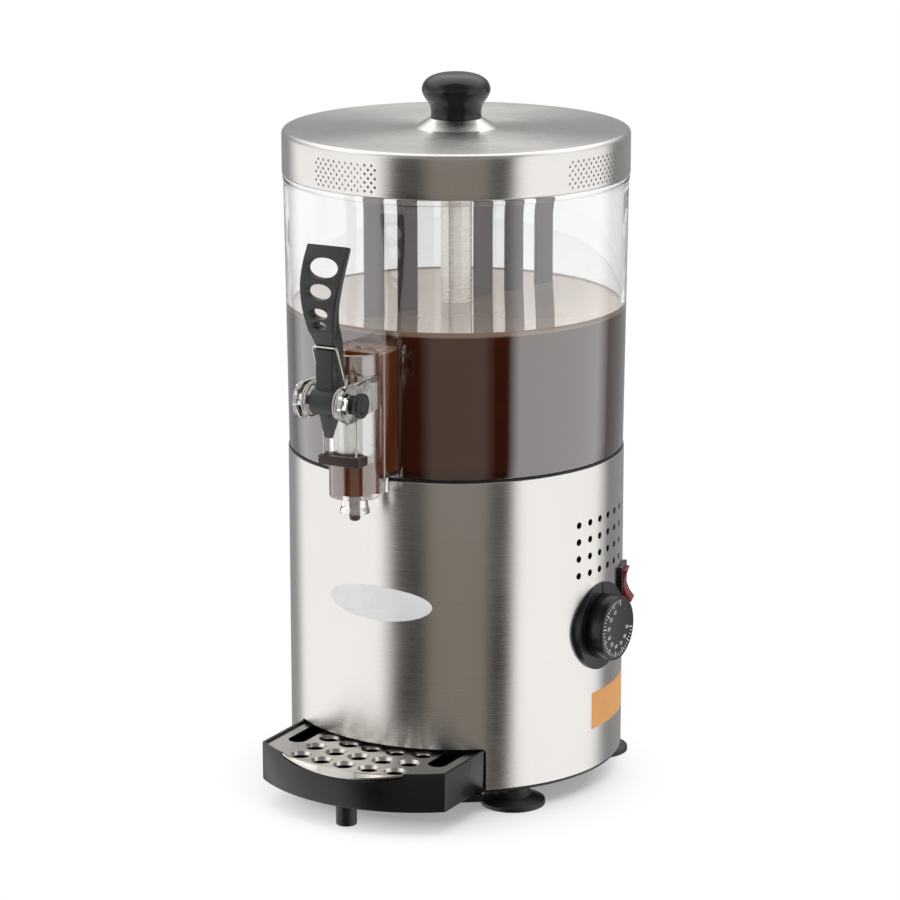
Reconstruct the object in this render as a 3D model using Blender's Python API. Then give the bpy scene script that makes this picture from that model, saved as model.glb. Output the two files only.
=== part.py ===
"""Hot chocolate dispenser: a clear heated tank with a stirring paddle, and a sprung tap over a drip tray.

Metres, +Z up. The machine stands on the plane z = 0 with its tap towards -Y and its thermostat towards +X.
Every piece hangs from the empty machine_axis, which stands on the housing's own axis. Heights below are
counted from the floor, and at the end the middle of the machine's footprint is set on the origin.
"""

import math

import bmesh
import bpy
from mathutils import Matrix, Vector

# Clearances
GAP = 0.0003  # between two pieces that touch
RUNNING_GAP = 0.0005  # round what turns or slides in another piece
OVERRUN = 0.002  # how far a cutter stands out of what it cuts

# Sides of round pieces
LARGE_SIDES = 60
MEDIUM_SIDES = 30
SMALL_SIDES = 16
HOLE_SIDES = 8

# Housing
HOUSING_RADIUS = 0.110
HOUSING_WALL = 0.001
HOUSING_HEIGHT = 0.2034
GROUND_CLEARANCE = 0.015  # floor to the housing's lower edge
HOUSING_FLANGE = 0.008  # inward fold along the lower edge
VENT_RADIUS = 0.00225
VENT_PITCH = 0.0112
VENT_COLUMNS = 6
VENT_ROWS = 4
VENT_HEIGHT = 0.1504  # middle of the vents, above the lower edge
VENT_AZIMUTH = math.radians(88.5)

# Base plate and feet
BASE_PLATE_THICKNESS = 0.003
BASE_PLATE_DROP = 0.0024  # how far it shows below the housing
FOOT_RADIUS = 0.021
FOOT_BOSS_RADIUS = 0.011
FOOT_RIM_HEIGHT = 0.003
FOOT_SETBACK = 0.0137  # from the housing's face to the middle of a foot
FOOT_SPREAD = math.radians(39.3)  # where the feet stand, from the machine's sides
FOOT_SCREW_RADIUS = 0.002
FOOT_SCREW_HEAD_RADIUS = 0.004
FOOT_SCREW_HEAD_HEIGHT = 0.0025
FOOT_SCREW_REACH = 0.006  # above the base plate
RAIL_INSET = 0.0008  # inside the housing's face
RAIL_WIDTH = 0.012
RAIL_END_GAP = 0.0015  # to the front feet
RAIL_BOTTOM = 0.0065  # above the floor

# Heating pan, gasket, column and element
SHEET = 0.001  # thickness of the pan
PAN_RIM_WIDTH = 0.0095
PAN_DEPTH = 0.003
PAN_SKIRT = 0.013
GASKET_THICKNESS = 0.001
GASKET_WIDTH = 0.0105
COLUMN_RADIUS = 0.010
COLUMN_WALL = 0.004
COLUMN_FLANGE_RADIUS = 0.016
COLUMN_FLANGE_THICKNESS = 0.002
COLUMN_TOP_DROP = 0.014  # below the lid's top
COLUMN_NUT_RADIUS = 0.015
COLUMN_NUT_HEIGHT = 0.008
BUSH_LENGTH = 0.018
BUSH_FLANGE_RADIUS = 0.009
BUSH_FLANGE_THICKNESS = 0.0017
ELEMENT_RADIUS = 0.062
ELEMENT_TUBE_RADIUS = 0.0035
ELEMENT_TAIL = 0.016
ELEMENT_OPENING = math.radians(44)
CLAMP_WIDTH = 0.016
CLAMP_THICKNESS = 0.0015
CLAMP_REACH = 0.070

# Motor, gearbox and drive
BRACKET_HEIGHT = 0.119
BRACKET_SPAN = 0.090
BRACKET_DEPTH = 0.044
BRACKET_SHEET = 0.002
GEARBOX_SIZE = (0.062, 0.048, 0.026)
MOTOR_RADIUS = 0.024
MOTOR_LENGTH = 0.048
SHAFT_RADIUS = 0.004
SHAFT_ENGAGEMENT = 0.016

# Tank
TANK_FOOT_INSET = 0.0006  # foot inside the housing's face
TANK_FLARE = 0.0021  # how much wider it is under the lid than at its foot
TANK_WALL = 0.003
TANK_FOOT_THICKNESS = 0.005
TANK_FOOT_WIDTH = 0.011
TANK_BEAD_PROUD = 0.0005
TANK_BEAD_HEIGHT = 0.0035
TANK_NECK_INSET = 0.0018  # neck inside the lid's skirt, from the skirt's outer face

# Lid
LID_PROUD = 0.0004  # outside the tank's bead
LID_RISE = 0.2086  # top of the housing to the lid's top
LID_SKIRT = 0.0281
LID_SHEET = 0.0012
LID_CORNER = 0.0032
LID_CONE_FOOT_RADIUS = 0.027
LID_CONE_TOP_RADIUS = 0.017
LID_CONE_HEIGHT = 0.0064
LID_KNOB_HEIGHT = 0.0288
LID_KNOB_RADIUS = 0.0221
LID_SCREW_RADIUS = 0.0025
LID_SCREW_HEAD_RADIUS = 0.0055
LID_SCREW_LENGTH = 0.016

# Tap: tank's box, chamber and nozzle
TAP_BOX_HALF_WIDTH = 0.018
TAP_BOX_STANDOFF = 0.018  # front of the box, in front of the housing's face
TAP_BOX_BOTTOM = 0.0056  # above the housing's top
TAP_BOX_HEIGHT = 0.0815
TAP_WALL = 0.0025
CHAMBER_RADIUS = 0.016
CHAMBER_STANDOFF = 0.0236  # chamber axis, in front of the housing's face
CHAMBER_DROP = 0.011  # chamber's bottom, below the box's bottom
CHAMBER_FLOOR = 0.003
CHAMBER_INLET_HEIGHT = 0.010
SEAT_BORE_RADIUS = 0.005
NOZZLE_RADIUS = 0.0095
NOZZLE_BORE_RADIUS = 0.0072
NOZZLE_LENGTH = 0.011
PEG_RADIUS = 0.0026
PEG_LENGTH = 0.010
PEG_SETBACK = 0.0055  # behind the box's front

# Tap: ears, axle and lever
PIVOT_STANDOFF = 0.0334  # chamber axis to the lever's axle
PIVOT_RISE = 0.056  # above the box's bottom
EAR_RADIUS = 0.012
EAR_THICKNESS = 0.0038
EAR_INNER_FACE = 0.0139
AXLE_RADIUS = 0.003
AXLE_NECK_RADIUS = 0.005
AXLE_HEAD_RADIUS = 0.0078
AXLE_NECK_LENGTH = 0.0038
AXLE_HEAD_LENGTH = 0.0042
AXLE_TIP_RADIUS = 0.0022
AXLE_TIP_LENGTH = 0.003
HUB_RADIUS = 0.0085
HUB_HALF_WIDTH = 0.008
STEM_WIDTH = 0.013
STEM_THICKNESS = 0.0145
STEM_HEIGHT = 0.0345  # axle to the spring's groove
BLADE_HEIGHT = 0.0625  # from the groove to the lever's top
BLADE_WIDTH = 0.0298
BLADE_THICKNESS = 0.004
BLADE_BULGE = 0.0069  # how far the blade swings forward of the stem
BEAK_THICKNESS = 0.0054
BEAK_LENGTH = 0.0232
LIFTER_REACH = 0.024
LIFTER_DROP = 0.001
LIFTER_RADIUS = 0.0032
GROOVE_DEPTH = 0.0018
WINDOW_HEIGHTS = (0.0490, 0.0700, 0.0565, 0.0840)  # lever windows, above the axle
WINDOW_WIDTHS = (0.0095, 0.0177, 0.0127, 0.0220)
LEVER_SWING = math.radians(20)

# Tap: spring and its rest
WIRE_RADIUS = 0.0007
COIL_RADIUS = 0.0098
COIL_PITCH = 0.00185
COIL_TURNS = 2
LEG_BACKSET = 0.016  # legs behind the axle
LEG_SPREAD = 0.0112
REST_HALF_WIDTH = 0.0144
REST_HEIGHT = 0.006
REST_DROP = 0.044  # bottom of the rest, below the axle
REST_FRONT = 0.0203  # in front of the chamber axis
REST_SOCKET_DEPTH = 0.0025

# Tap: plunger
PLUNGER_LENGTH = 0.046
PLUNGER_BOTTOM_RISE = 0.028  # above the chamber's bottom
PLUNGER_WALL = 0.0012
SEAL_THICKNESS = 0.0042
TIP_RADIUS = 0.0035
TIP_REACH = 0.016  # below the chamber's bottom
VALVE_RADIUS = 0.008
VALVE_THICKNESS = 0.0027
TIP_FLANGE_RADIUS = 0.0065
TIP_FLANGE_THICKNESS = 0.002
TIP_SPIGOT_RADIUS = 0.003
TIP_SPIGOT_LENGTH = 0.010

# Stirring paddle
PADDLE_AZIMUTH = math.radians(73.2)  # its plane, from +X
PADDLE_BLADE_WIDTH = 0.015
PADDLE_BLADE_THICKNESS = 0.003
PADDLE_SWEEP_GAP = 0.0085  # between the longest arm and the tank's foot
PADDLE_BLADE_SHARES = (-0.812, -0.487, 0.2748, 0.5973, 0.9166)  # of the longest arm
PADDLE_BAR_HEIGHT = 0.0064
PADDLE_BAR_THICKNESS = 0.008
PADDLE_HUB_RADIUS = 0.012
PADDLE_FLOOR_GAP = 0.0045  # blades' ends to the housing's top

# Thermostat
DIAL_AZIMUTH = math.radians(86.5)
DIAL_HEIGHT = 0.0952  # above the housing's lower edge
BEZEL_RADIUS = 0.0288
BEZEL_FACE = 0.0015  # in front of the housing
BEZEL_NOTCH_WIDTH = 0.001
DIAL_RADIUS = 0.0212
DIAL_FACE = 0.0131
DIAL_WALL = 0.002
DIAL_CHAMFER = 0.0008
SPINDLE_RADIUS = 0.003
THERMOSTAT_RADIUS = 0.017
THERMOSTAT_DEPTH = 0.014
THERMOSTAT_SETBACK = 0.004
THERMOSTAT_NECK_RADIUS = 0.005
THERMOSTAT_TAB_SIZE = (0.0063, 0.0008, 0.008)

# Switch
SWITCH_AZIMUTH = math.radians(108)
SWITCH_HEIGHT = 0.111
SWITCH_FRAME = (0.022, 0.030)
SWITCH_FACE = 0.0025
SWITCH_BODY = (0.018, 0.026)
SWITCH_DEPTH = 0.022
ROCKER_WIDTH = 0.0138
ROCKER_LENGTH = 0.0216
ROCKER_PIVOT_SETBACK = 0.004
ROCKER_HEIGHT = 0.011
ROCKER_DIP = 0.004
ROCKER_TILT = math.radians(9)

# Drip tray and grid
TRAY_HALF_WIDTH = 0.0673
TRAY_STANDOFF = 0.0517  # front of the tray, in front of the housing's face
TRAY_REAR_INSET = 0.009  # hollow rear, inside the housing's face
TRAY_LIFT = 0.001  # bottom above the housing's lower edge
TRAY_HEIGHT = 0.0258
TRAY_FLOOR = 0.0016
TRAY_WALL = 0.0031
TRAY_RIM = 0.0019
TRAY_LEDGE_DROP = 0.0031
CUTOUT_GAP = 0.0009
TRAY_FOOT_RADIUS = 0.0067
TRAY_FOOT_SETBACK = 0.0147  # behind the tray's front
GRID_THICKNESS = 0.0012
GRID_ROWS = 3
GRID_ROW_PITCH = 0.0178
GRID_MARGIN = 0.0023  # tray's wall to the front row's middle dimple
GRID_COLUMN_PITCH = 0.0172
GRID_COLUMNS = 5
DIMPLE_RADIUS = 0.0069
DRAIN_RADIUS = 0.0054
DIMPLE_DEPTH = 0.0022
FINGER_SLOT_INNER = 0.0452
FINGER_SLOT_WIDTH = 0.0126
FINGER_SLOT_SETBACK = 0.0355  # behind the tray's front
LIP_HALF_WIDTH = 0.044
LIP_DEPTH = 0.0056  # lowest point of the grid's front lip, below the tray's top
LIP_WIDTH = TRAY_RIM + 2 * RUNNING_GAP  # from the tray's face to where the sheet bends
LIP_STEPS = 24

# Cable gland and terminals
GLAND_HEIGHT = 0.022
GLAND_RADIUS = 0.0065
GLAND_FLANGE_RADIUS = 0.009
GLAND_NOSE = 0.011
GLAND_BORE = 0.0036
TERMINAL_SIZE = (0.040, 0.018, 0.015)
TERMINAL_PLACE = (-0.030, 0.068)
TERMINAL_WAYS = 4

# Radii and reaches from the machine axis, worked out from the sizes above
TANK_FOOT_RADIUS = HOUSING_RADIUS - TANK_FOOT_INSET
TANK_SHOULDER_RADIUS = TANK_FOOT_RADIUS + TANK_FLARE
TANK_BEAD_RADIUS = TANK_SHOULDER_RADIUS + TANK_BEAD_PROUD
LID_RADIUS = TANK_BEAD_RADIUS + LID_PROUD
PADDLE_REACH = TANK_FOOT_RADIUS - TANK_FOOT_WIDTH - PADDLE_SWEEP_GAP
TAP_BOX_FRONT = HOUSING_RADIUS + TAP_BOX_STANDOFF
CHAMBER_REACH = HOUSING_RADIUS + CHAMBER_STANDOFF
PIVOT_REACH = CHAMBER_REACH + PIVOT_STANDOFF
TRAY_REACH = HOUSING_RADIUS + TRAY_STANDOFF
TRAY_FRONT_RADIUS = HOUSING_RADIUS  # its front bows like the housing
TRAY_REAR_RADIUS = HOUSING_RADIUS - TRAY_REAR_INSET

# Heights worked out from the sizes above
HOUSING_BOTTOM = GROUND_CLEARANCE
HOUSING_TOP = HOUSING_BOTTOM + HOUSING_HEIGHT
LID_TOP = HOUSING_TOP + LID_RISE
BASE_PLATE_BOTTOM = HOUSING_BOTTOM - BASE_PLATE_DROP
BASE_PLATE_TOP = BASE_PLATE_BOTTOM + BASE_PLATE_THICKNESS
PAN_FLOOR_TOP = HOUSING_TOP - PAN_DEPTH
PAN_UNDERSIDE = PAN_FLOOR_TOP - SHEET
GASKET_BOTTOM = HOUSING_TOP + GAP
TANK_BOTTOM = GASKET_BOTTOM + GASKET_THICKNESS + GAP
LID_UNDERSIDE = LID_TOP - LID_SHEET
LID_EDGE = LID_TOP - LID_SKIRT
TANK_TOP = LID_TOP - LID_CORNER - GAP
COLUMN_TOP = LID_TOP - COLUMN_TOP_DROP
TAP_BOTTOM = HOUSING_TOP + TAP_BOX_BOTTOM
TAP_TOP = TAP_BOTTOM + TAP_BOX_HEIGHT
CHAMBER_BOTTOM = TAP_BOTTOM - CHAMBER_DROP
PIVOT_HEIGHT = TAP_BOTTOM + PIVOT_RISE
CHAMBER_BORE = CHAMBER_RADIUS - TAP_WALL
COLUMN_BORE = COLUMN_RADIUS - COLUMN_WALL
ELEMENT_CENTRE = PAN_UNDERSIDE - GAP - ELEMENT_TUBE_RADIUS
CLAMP_TOP = ELEMENT_CENTRE - ELEMENT_TUBE_RADIUS - GAP
NUT_TOP = CLAMP_TOP - CLAMP_THICKNESS - GAP
PADDLE_BAR_BOTTOM = COLUMN_TOP + BUSH_FLANGE_THICKNESS + GAP + RUNNING_GAP
TRAY_BOTTOM = HOUSING_BOTTOM + TRAY_LIFT
TRAY_TOP = TRAY_BOTTOM + TRAY_HEIGHT
GRID_BOTTOM = TRAY_TOP - TRAY_LEDGE_DROP + GAP
PLUNGER_BOTTOM = CHAMBER_BOTTOM + PLUNGER_BOTTOM_RISE


def clear_scene():
    for old in list(bpy.data.objects):
        bpy.data.objects.remove(old, do_unlink=True)


def finish(name, colour, roughness, metallic=0.0, alpha=1.0):
    """Principled material with the piece's own colour."""
    material = bpy.data.materials.new(name)
    material.use_nodes = True
    shader = material.node_tree.nodes["Principled BSDF"]
    shader.inputs["Base Color"].default_value = (*colour, 1.0)
    shader.inputs["Roughness"].default_value = roughness
    shader.inputs["Metallic"].default_value = metallic
    shader.inputs["Alpha"].default_value = alpha
    return material


def empty(name, parent=None, place=None):
    """Empty that carries pieces, for instance on a joint's axis."""
    carrier = bpy.data.objects.new(name, None)
    bpy.context.collection.objects.link(carrier)
    carrier.parent = parent
    if place is not None:
        carrier.matrix_local = place
    return carrier


def piece(name, mesh, material, parent):
    """Object of one sub-part, on its parent's origin."""
    part = bpy.data.objects.new(name, mesh)
    bpy.context.collection.objects.link(part)
    part.parent = parent
    mesh.materials.clear()
    mesh.materials.append(material)
    mesh.shade_smooth()
    mesh.set_sharp_from_angle(angle=math.radians(30))
    return part


def closed_mesh(name, bm):
    """Mesh of a closed bmesh, with its faces pointing out."""
    bmesh.ops.recalc_face_normals(bm, faces=bm.faces[:])
    mesh = bpy.data.meshes.new(name)
    bm.to_mesh(mesh)
    bm.free()
    return mesh


def turned(profile, sides, start=0.0):
    """Solid turned about local Z from a closed outline of (radius, height) points."""
    bm = bmesh.new()
    rings = []
    for radius, height in profile:
        if radius == 0:
            rings.append([bm.verts.new((0, 0, height))])
            continue
        ring = []
        for k in range(sides):
            turn = start + math.tau * k / sides
            ring.append(bm.verts.new((radius * math.cos(turn), radius * math.sin(turn), height)))
        rings.append(ring)
    for low, high in zip(rings, rings[1:] + rings[:1]):
        if len(low) == 1 and len(high) == 1:
            continue
        for k in range(sides):
            corners = [low[k % len(low)], low[(k + 1) % len(low)]]
            corners += [high[(k + 1) % len(high)], high[k % len(high)]]
            bm.faces.new(list(dict.fromkeys(corners)))
    return closed_mesh("turned", bm)


def prism(outline, bottom, top):
    """Solid between two heights over a closed outline of (x, y) points."""
    bm = bmesh.new()
    face = bm.faces.new([bm.verts.new((x, y, bottom)) for x, y in outline])
    raised = bmesh.ops.extrude_face_region(bm, geom=[face])["geom"]
    verts = [v for v in raised if isinstance(v, bmesh.types.BMVert)]
    bmesh.ops.translate(bm, verts=verts, vec=(0, 0, top - bottom))
    return closed_mesh("prism", bm)


def block(low, high):
    """Box between two opposite corners."""
    outline = [(low[0], low[1]), (high[0], low[1]), (high[0], high[1]), (low[0], high[1])]
    return prism(outline, low[2], high[2])


def lofted(rings):
    """Solid through closed rings of equally many points, with flat ends."""
    bm = bmesh.new()
    loops = [[bm.verts.new(point) for point in ring] for ring in rings]
    for low, high in zip(loops, loops[1:]):
        for k in range(len(low)):
            j = (k + 1) % len(low)
            bm.faces.new((low[k], low[j], high[j], high[k]))
    bm.faces.new(loops[0])
    bm.faces.new(loops[-1])
    return closed_mesh("lofted", bm)


def placed(mesh, matrix):
    mesh.transform(matrix)
    return mesh


def joined(meshes):
    """One mesh of several separate solids, for use as a cutter."""
    bm = bmesh.new()
    for mesh in meshes:
        bm.from_mesh(mesh)
        bpy.data.meshes.remove(mesh)
    return closed_mesh("joined", bm)


def carve(part, mesh, operation="DIFFERENCE", carrier=None):
    """Cut a solid out of a piece, or fuse it to the piece, in the carrier's frame."""
    tool = bpy.data.objects.new("tool", mesh)
    bpy.context.collection.objects.link(tool)
    tool.parent = carrier if carrier is not None else part.parent
    tool.display_type = "WIRE"
    tool.hide_render = True
    change = part.modifiers.new("carve", "BOOLEAN")
    change.operation = operation
    change.solver = "EXACT"
    change.object = tool
    bpy.context.view_layer.update()
    depsgraph = bpy.context.evaluated_depsgraph_get()
    material = part.data.materials[0]
    result = bpy.data.meshes.new_from_object(part.evaluated_get(depsgraph))
    part.modifiers.clear()
    part.data = result
    result.materials.clear()
    result.materials.append(material)
    result.polygons.foreach_set("material_index", [0] * len(result.polygons))
    bpy.data.objects.remove(tool, do_unlink=True)
    result.shade_smooth()
    result.set_sharp_from_angle(angle=math.radians(30))
    return part


def fuse(part, mesh, carrier=None):
    return carve(part, mesh, "UNION", carrier)


def arc(centre, radius, start, end, steps):
    """Points of an arc with both its ends; angles from the first axis towards the second."""
    turns = [start + (end - start) * k / steps for k in range(steps + 1)]
    return [(centre[0] + radius * math.cos(t), centre[1] + radius * math.sin(t)) for t in turns]


def wall_frame(azimuth, height):
    """Frame on the housing's face: local Z points out of the wall and local Y points up."""
    outward = Vector((math.sin(azimuth), -math.cos(azimuth), 0))
    along = Vector((math.cos(azimuth), math.sin(azimuth), 0))
    turn = Matrix((along, Vector((0, 0, 1)), outward)).transposed()
    place = outward * HOUSING_RADIUS + Vector((0, 0, height))
    return Matrix.Translation(place) @ turn.to_4x4()


# Local Z turned onto +X, for round pieces that lie across the tap
ALONG_X = Matrix.Rotation(math.pi / 2, 4, "Y")

STAINLESS = finish("stainless", (0.78, 0.77, 0.75), 0.28, 1.0)
GREY_STEEL = finish("zinc_steel", (0.55, 0.55, 0.54), 0.42, 1.0)
BLACK_PLASTIC = finish("black_plastic", (0.025, 0.025, 0.026), 0.45)
GLOSS_BLACK = finish("gloss_black", (0.012, 0.012, 0.013), 0.12)
CHARCOAL = finish("charcoal_plastic", (0.065, 0.068, 0.068), 0.48)
CLEAR = finish("clear_polycarbonate", (0.93, 0.94, 0.94), 0.05, 0.0, 0.3)
BLACK_RUBBER = finish("black_rubber", (0.02, 0.02, 0.02), 0.7)
BROWN_SILICONE = finish("brown_plastic", (0.09, 0.045, 0.03), 0.5)
PADDLE_GREY = finish("paddle_plastic", (0.21, 0.175, 0.185), 0.5)
RED_PLASTIC = finish("red_plastic", (0.45, 0.02, 0.02), 0.3)
WHITE_NYLON = finish("white_nylon", (0.8, 0.79, 0.76), 0.5)


def make_housing(axis):
    """Rolled stainless shell, with its vents and the openings for what it carries."""
    inner = HOUSING_RADIUS - HOUSING_WALL
    lip = inner - HOUSING_FLANGE
    flange_bottom = BASE_PLATE_TOP + GAP
    flange_top = flange_bottom + HOUSING_WALL
    profile = [(HOUSING_RADIUS, HOUSING_BOTTOM), (HOUSING_RADIUS, HOUSING_TOP), (inner, HOUSING_TOP)]
    profile += [(inner, flange_top), (lip, flange_top), (lip, flange_bottom)]
    profile += [(inner, flange_bottom), (inner, HOUSING_BOTTOM)]
    shell = piece("housing_shell", turned(profile, LARGE_SIDES), STAINLESS, axis)

    half = TRAY_HALF_WIDTH + CUTOUT_GAP
    low = (-half, -HOUSING_RADIUS - OVERRUN, HOUSING_BOTTOM - OVERRUN)
    inside = math.sqrt(TRAY_REAR_RADIUS**2 - TRAY_HALF_WIDTH**2) - TRAY_WALL
    carve(shell, block(low, (half, -inside, TRAY_TOP + CUTOUT_GAP)))

    depth = HOUSING_WALL * 2 + OVERRUN
    punch = [(0, -depth), (VENT_RADIUS, -depth), (VENT_RADIUS, OVERRUN), (0, OVERRUN)]
    vents = []
    for row in range(VENT_ROWS):
        height = HOUSING_BOTTOM + VENT_HEIGHT + (row - (VENT_ROWS - 1) / 2) * VENT_PITCH
        for column in range(VENT_COLUMNS):
            turn = (column - (VENT_COLUMNS - 1) / 2) * VENT_PITCH / HOUSING_RADIUS
            vents.append(placed(turned(punch, HOLE_SIDES), wall_frame(VENT_AZIMUTH + turn, height)))
    carve(shell, joined(vents))
    return shell


def pierce(shell, carrier, radius):
    """Round hole through the housing's wall on the carrier's axis."""
    depth = HOUSING_WALL * 2 + OVERRUN
    hole = [(0, -depth), (radius, -depth), (radius, OVERRUN), (0, OVERRUN)]
    carve(shell, turned(hole, SMALL_SIDES), carrier=carrier)


def make_base(axis):
    """Base plate, its four cup feet and their screws, and the rail under its front edge."""
    radius = HOUSING_RADIUS - HOUSING_WALL - GAP
    outline = [(0, BASE_PLATE_BOTTOM), (radius, BASE_PLATE_BOTTOM), (radius, BASE_PLATE_TOP),
               (0, BASE_PLATE_TOP)]
    plate = piece("base_plate", turned(outline, MEDIUM_SIDES), BLACK_PLASTIC, axis)

    top = BASE_PLATE_BOTTOM - GAP
    shoulder = (FOOT_RIM_HEIGHT + top) / 2
    bore = FOOT_SCREW_RADIUS + GAP
    cup_roof = FOOT_RIM_HEIGHT
    cup = [(FOOT_RADIUS, 0), (FOOT_RADIUS, FOOT_RIM_HEIGHT), (FOOT_BOSS_RADIUS, shoulder),
           (FOOT_BOSS_RADIUS, top)]
    cup += [(bore, top), (bore, cup_roof), (FOOT_BOSS_RADIUS, cup_roof), (FOOT_RADIUS - FOOT_RIM_HEIGHT, 0)]
    head_top = cup_roof - GAP
    tip = BASE_PLATE_TOP + FOOT_SCREW_REACH
    head_bottom = head_top - FOOT_SCREW_HEAD_HEIGHT
    screw = [(0, head_bottom), (FOOT_SCREW_HEAD_RADIUS, head_bottom), (FOOT_SCREW_HEAD_RADIUS, head_top)]
    screw += [(FOOT_SCREW_RADIUS, head_top), (FOOT_SCREW_RADIUS, tip), (0, tip)]
    hole = [(0, BASE_PLATE_BOTTOM - OVERRUN), (bore, BASE_PLATE_BOTTOM - OVERRUN)]
    hole += [(bore, BASE_PLATE_TOP + OVERRUN), (0, BASE_PLATE_TOP + OVERRUN)]
    reach = HOUSING_RADIUS - FOOT_SETBACK
    beside, along = reach * math.cos(FOOT_SPREAD), reach * math.sin(FOOT_SPREAD)
    for side, x in (("left", -beside), ("right", beside)):
        for end, y in (("front", -along), ("rear", along)):
            stand = empty(f"foot_place_{end}_{side}", axis, Matrix.Translation((x, y, 0)))
            piece(f"foot_{end}_{side}", turned(cup, SMALL_SIDES), BLACK_RUBBER, stand)
            piece(f"foot_screw_{end}_{side}", turned(screw, HOLE_SIDES), GREY_STEEL, stand)
            carve(plate, turned(hole, HOLE_SIDES), carrier=stand)

    rail_outer = HOUSING_RADIUS - RAIL_INSET
    rail_inner = rail_outer - RAIL_WIDTH
    sweep = math.pi / 2 - FOOT_SPREAD - math.asin((FOOT_RADIUS + RAIL_END_GAP) / reach)
    rail = arc((0, 0), rail_outer, -math.pi / 2 - sweep, -math.pi / 2 + sweep, SMALL_SIDES)
    rail += arc((0, 0), rail_inner, -math.pi / 2 + sweep, -math.pi / 2 - sweep, SMALL_SIDES)
    piece("front_rail", prism(rail, RAIL_BOTTOM, top), BLACK_PLASTIC, axis)


def make_pan(axis):
    """Shallow stainless pan that closes the housing and is the tank's heated floor."""
    outer = HOUSING_RADIUS - HOUSING_WALL - GAP
    rim = outer - PAN_RIM_WIDTH
    hole = COLUMN_RADIUS + GAP
    skirt_bottom = HOUSING_TOP - PAN_SKIRT
    profile = [(outer, skirt_bottom), (outer, HOUSING_TOP), (rim, HOUSING_TOP), (rim - SHEET, PAN_FLOOR_TOP)]
    profile += [(hole, PAN_FLOOR_TOP), (hole, PAN_UNDERSIDE), (rim - SHEET, PAN_UNDERSIDE)]
    profile += [(rim, HOUSING_TOP - SHEET), (outer - SHEET, HOUSING_TOP - SHEET),
                (outer - SHEET, skirt_bottom)]
    piece("heating_pan", turned(profile, MEDIUM_SIDES), STAINLESS, axis)

    outside = HOUSING_RADIUS - GAP
    inside = outside - GASKET_WIDTH
    top = GASKET_BOTTOM + GASKET_THICKNESS
    ring = [(outside, GASKET_BOTTOM), (outside, top), (inside, top), (inside, GASKET_BOTTOM)]
    piece("tank_gasket", turned(ring, LARGE_SIDES), BLACK_RUBBER, axis)


def make_column(axis):
    """Stainless column through the pan, with its nut, its bush and the element's clamp."""
    foot = PAN_FLOOR_TOP + GAP
    end = NUT_TOP - COLUMN_NUT_HEIGHT
    tube = [(COLUMN_RADIUS, end), (COLUMN_RADIUS, foot), (COLUMN_FLANGE_RADIUS, foot)]
    tube += [(COLUMN_FLANGE_RADIUS, foot + COLUMN_FLANGE_THICKNESS),
             (COLUMN_RADIUS, foot + COLUMN_FLANGE_THICKNESS)]
    tube += [(COLUMN_RADIUS, COLUMN_TOP), (COLUMN_BORE, COLUMN_TOP), (COLUMN_BORE, end)]
    piece("centre_column", turned(tube, MEDIUM_SIDES), STAINLESS, axis)

    bore = COLUMN_RADIUS + GAP
    nut = [(COLUMN_NUT_RADIUS, end), (COLUMN_NUT_RADIUS, NUT_TOP), (bore, NUT_TOP), (bore, end)]
    nut_piece = piece("column_nut", turned(nut, SMALL_SIDES), GREY_STEEL, axis)
    across = COLUMN_NUT_RADIUS * math.cos(math.pi / 6)
    waste = []
    for k in range(6):
        face = block((across, -COLUMN_NUT_RADIUS, end - OVERRUN),
                     (COLUMN_NUT_RADIUS + OVERRUN, COLUMN_NUT_RADIUS, NUT_TOP + OVERRUN))
        waste.append(placed(face, Matrix.Rotation(k * math.pi / 3, 4, "Z")))
    for face in waste:
        carve(nut_piece, face)

    outer = COLUMN_BORE - GAP
    inner = SHAFT_RADIUS + GAP
    seat = COLUMN_TOP + GAP
    bush = [(outer, seat - BUSH_LENGTH), (outer, seat), (BUSH_FLANGE_RADIUS, seat)]
    bush += [(BUSH_FLANGE_RADIUS, seat + BUSH_FLANGE_THICKNESS), (inner, seat + BUSH_FLANGE_THICKNESS)]
    bush += [(inner, seat - BUSH_LENGTH)]
    piece("column_bush", turned(bush, SMALL_SIDES), WHITE_NYLON, axis)

    bottom = CLAMP_TOP - CLAMP_THICKNESS
    low = (-CLAMP_REACH, -CLAMP_WIDTH / 2, bottom)
    high = (CLAMP_REACH, CLAMP_WIDTH / 2, CLAMP_TOP)
    clamp = piece("element_clamp", block(low, high), GREY_STEEL, axis)
    boss = [(0, bottom), (CLAMP_WIDTH, bottom), (CLAMP_WIDTH, CLAMP_TOP), (0, CLAMP_TOP)]
    fuse(clamp, turned(boss, SMALL_SIDES))
    eye = [(0, bottom - OVERRUN), (bore, bottom - OVERRUN), (bore, CLAMP_TOP + OVERRUN),
           (0, CLAMP_TOP + OVERRUN)]
    carve(clamp, turned(eye, SMALL_SIDES))


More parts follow.
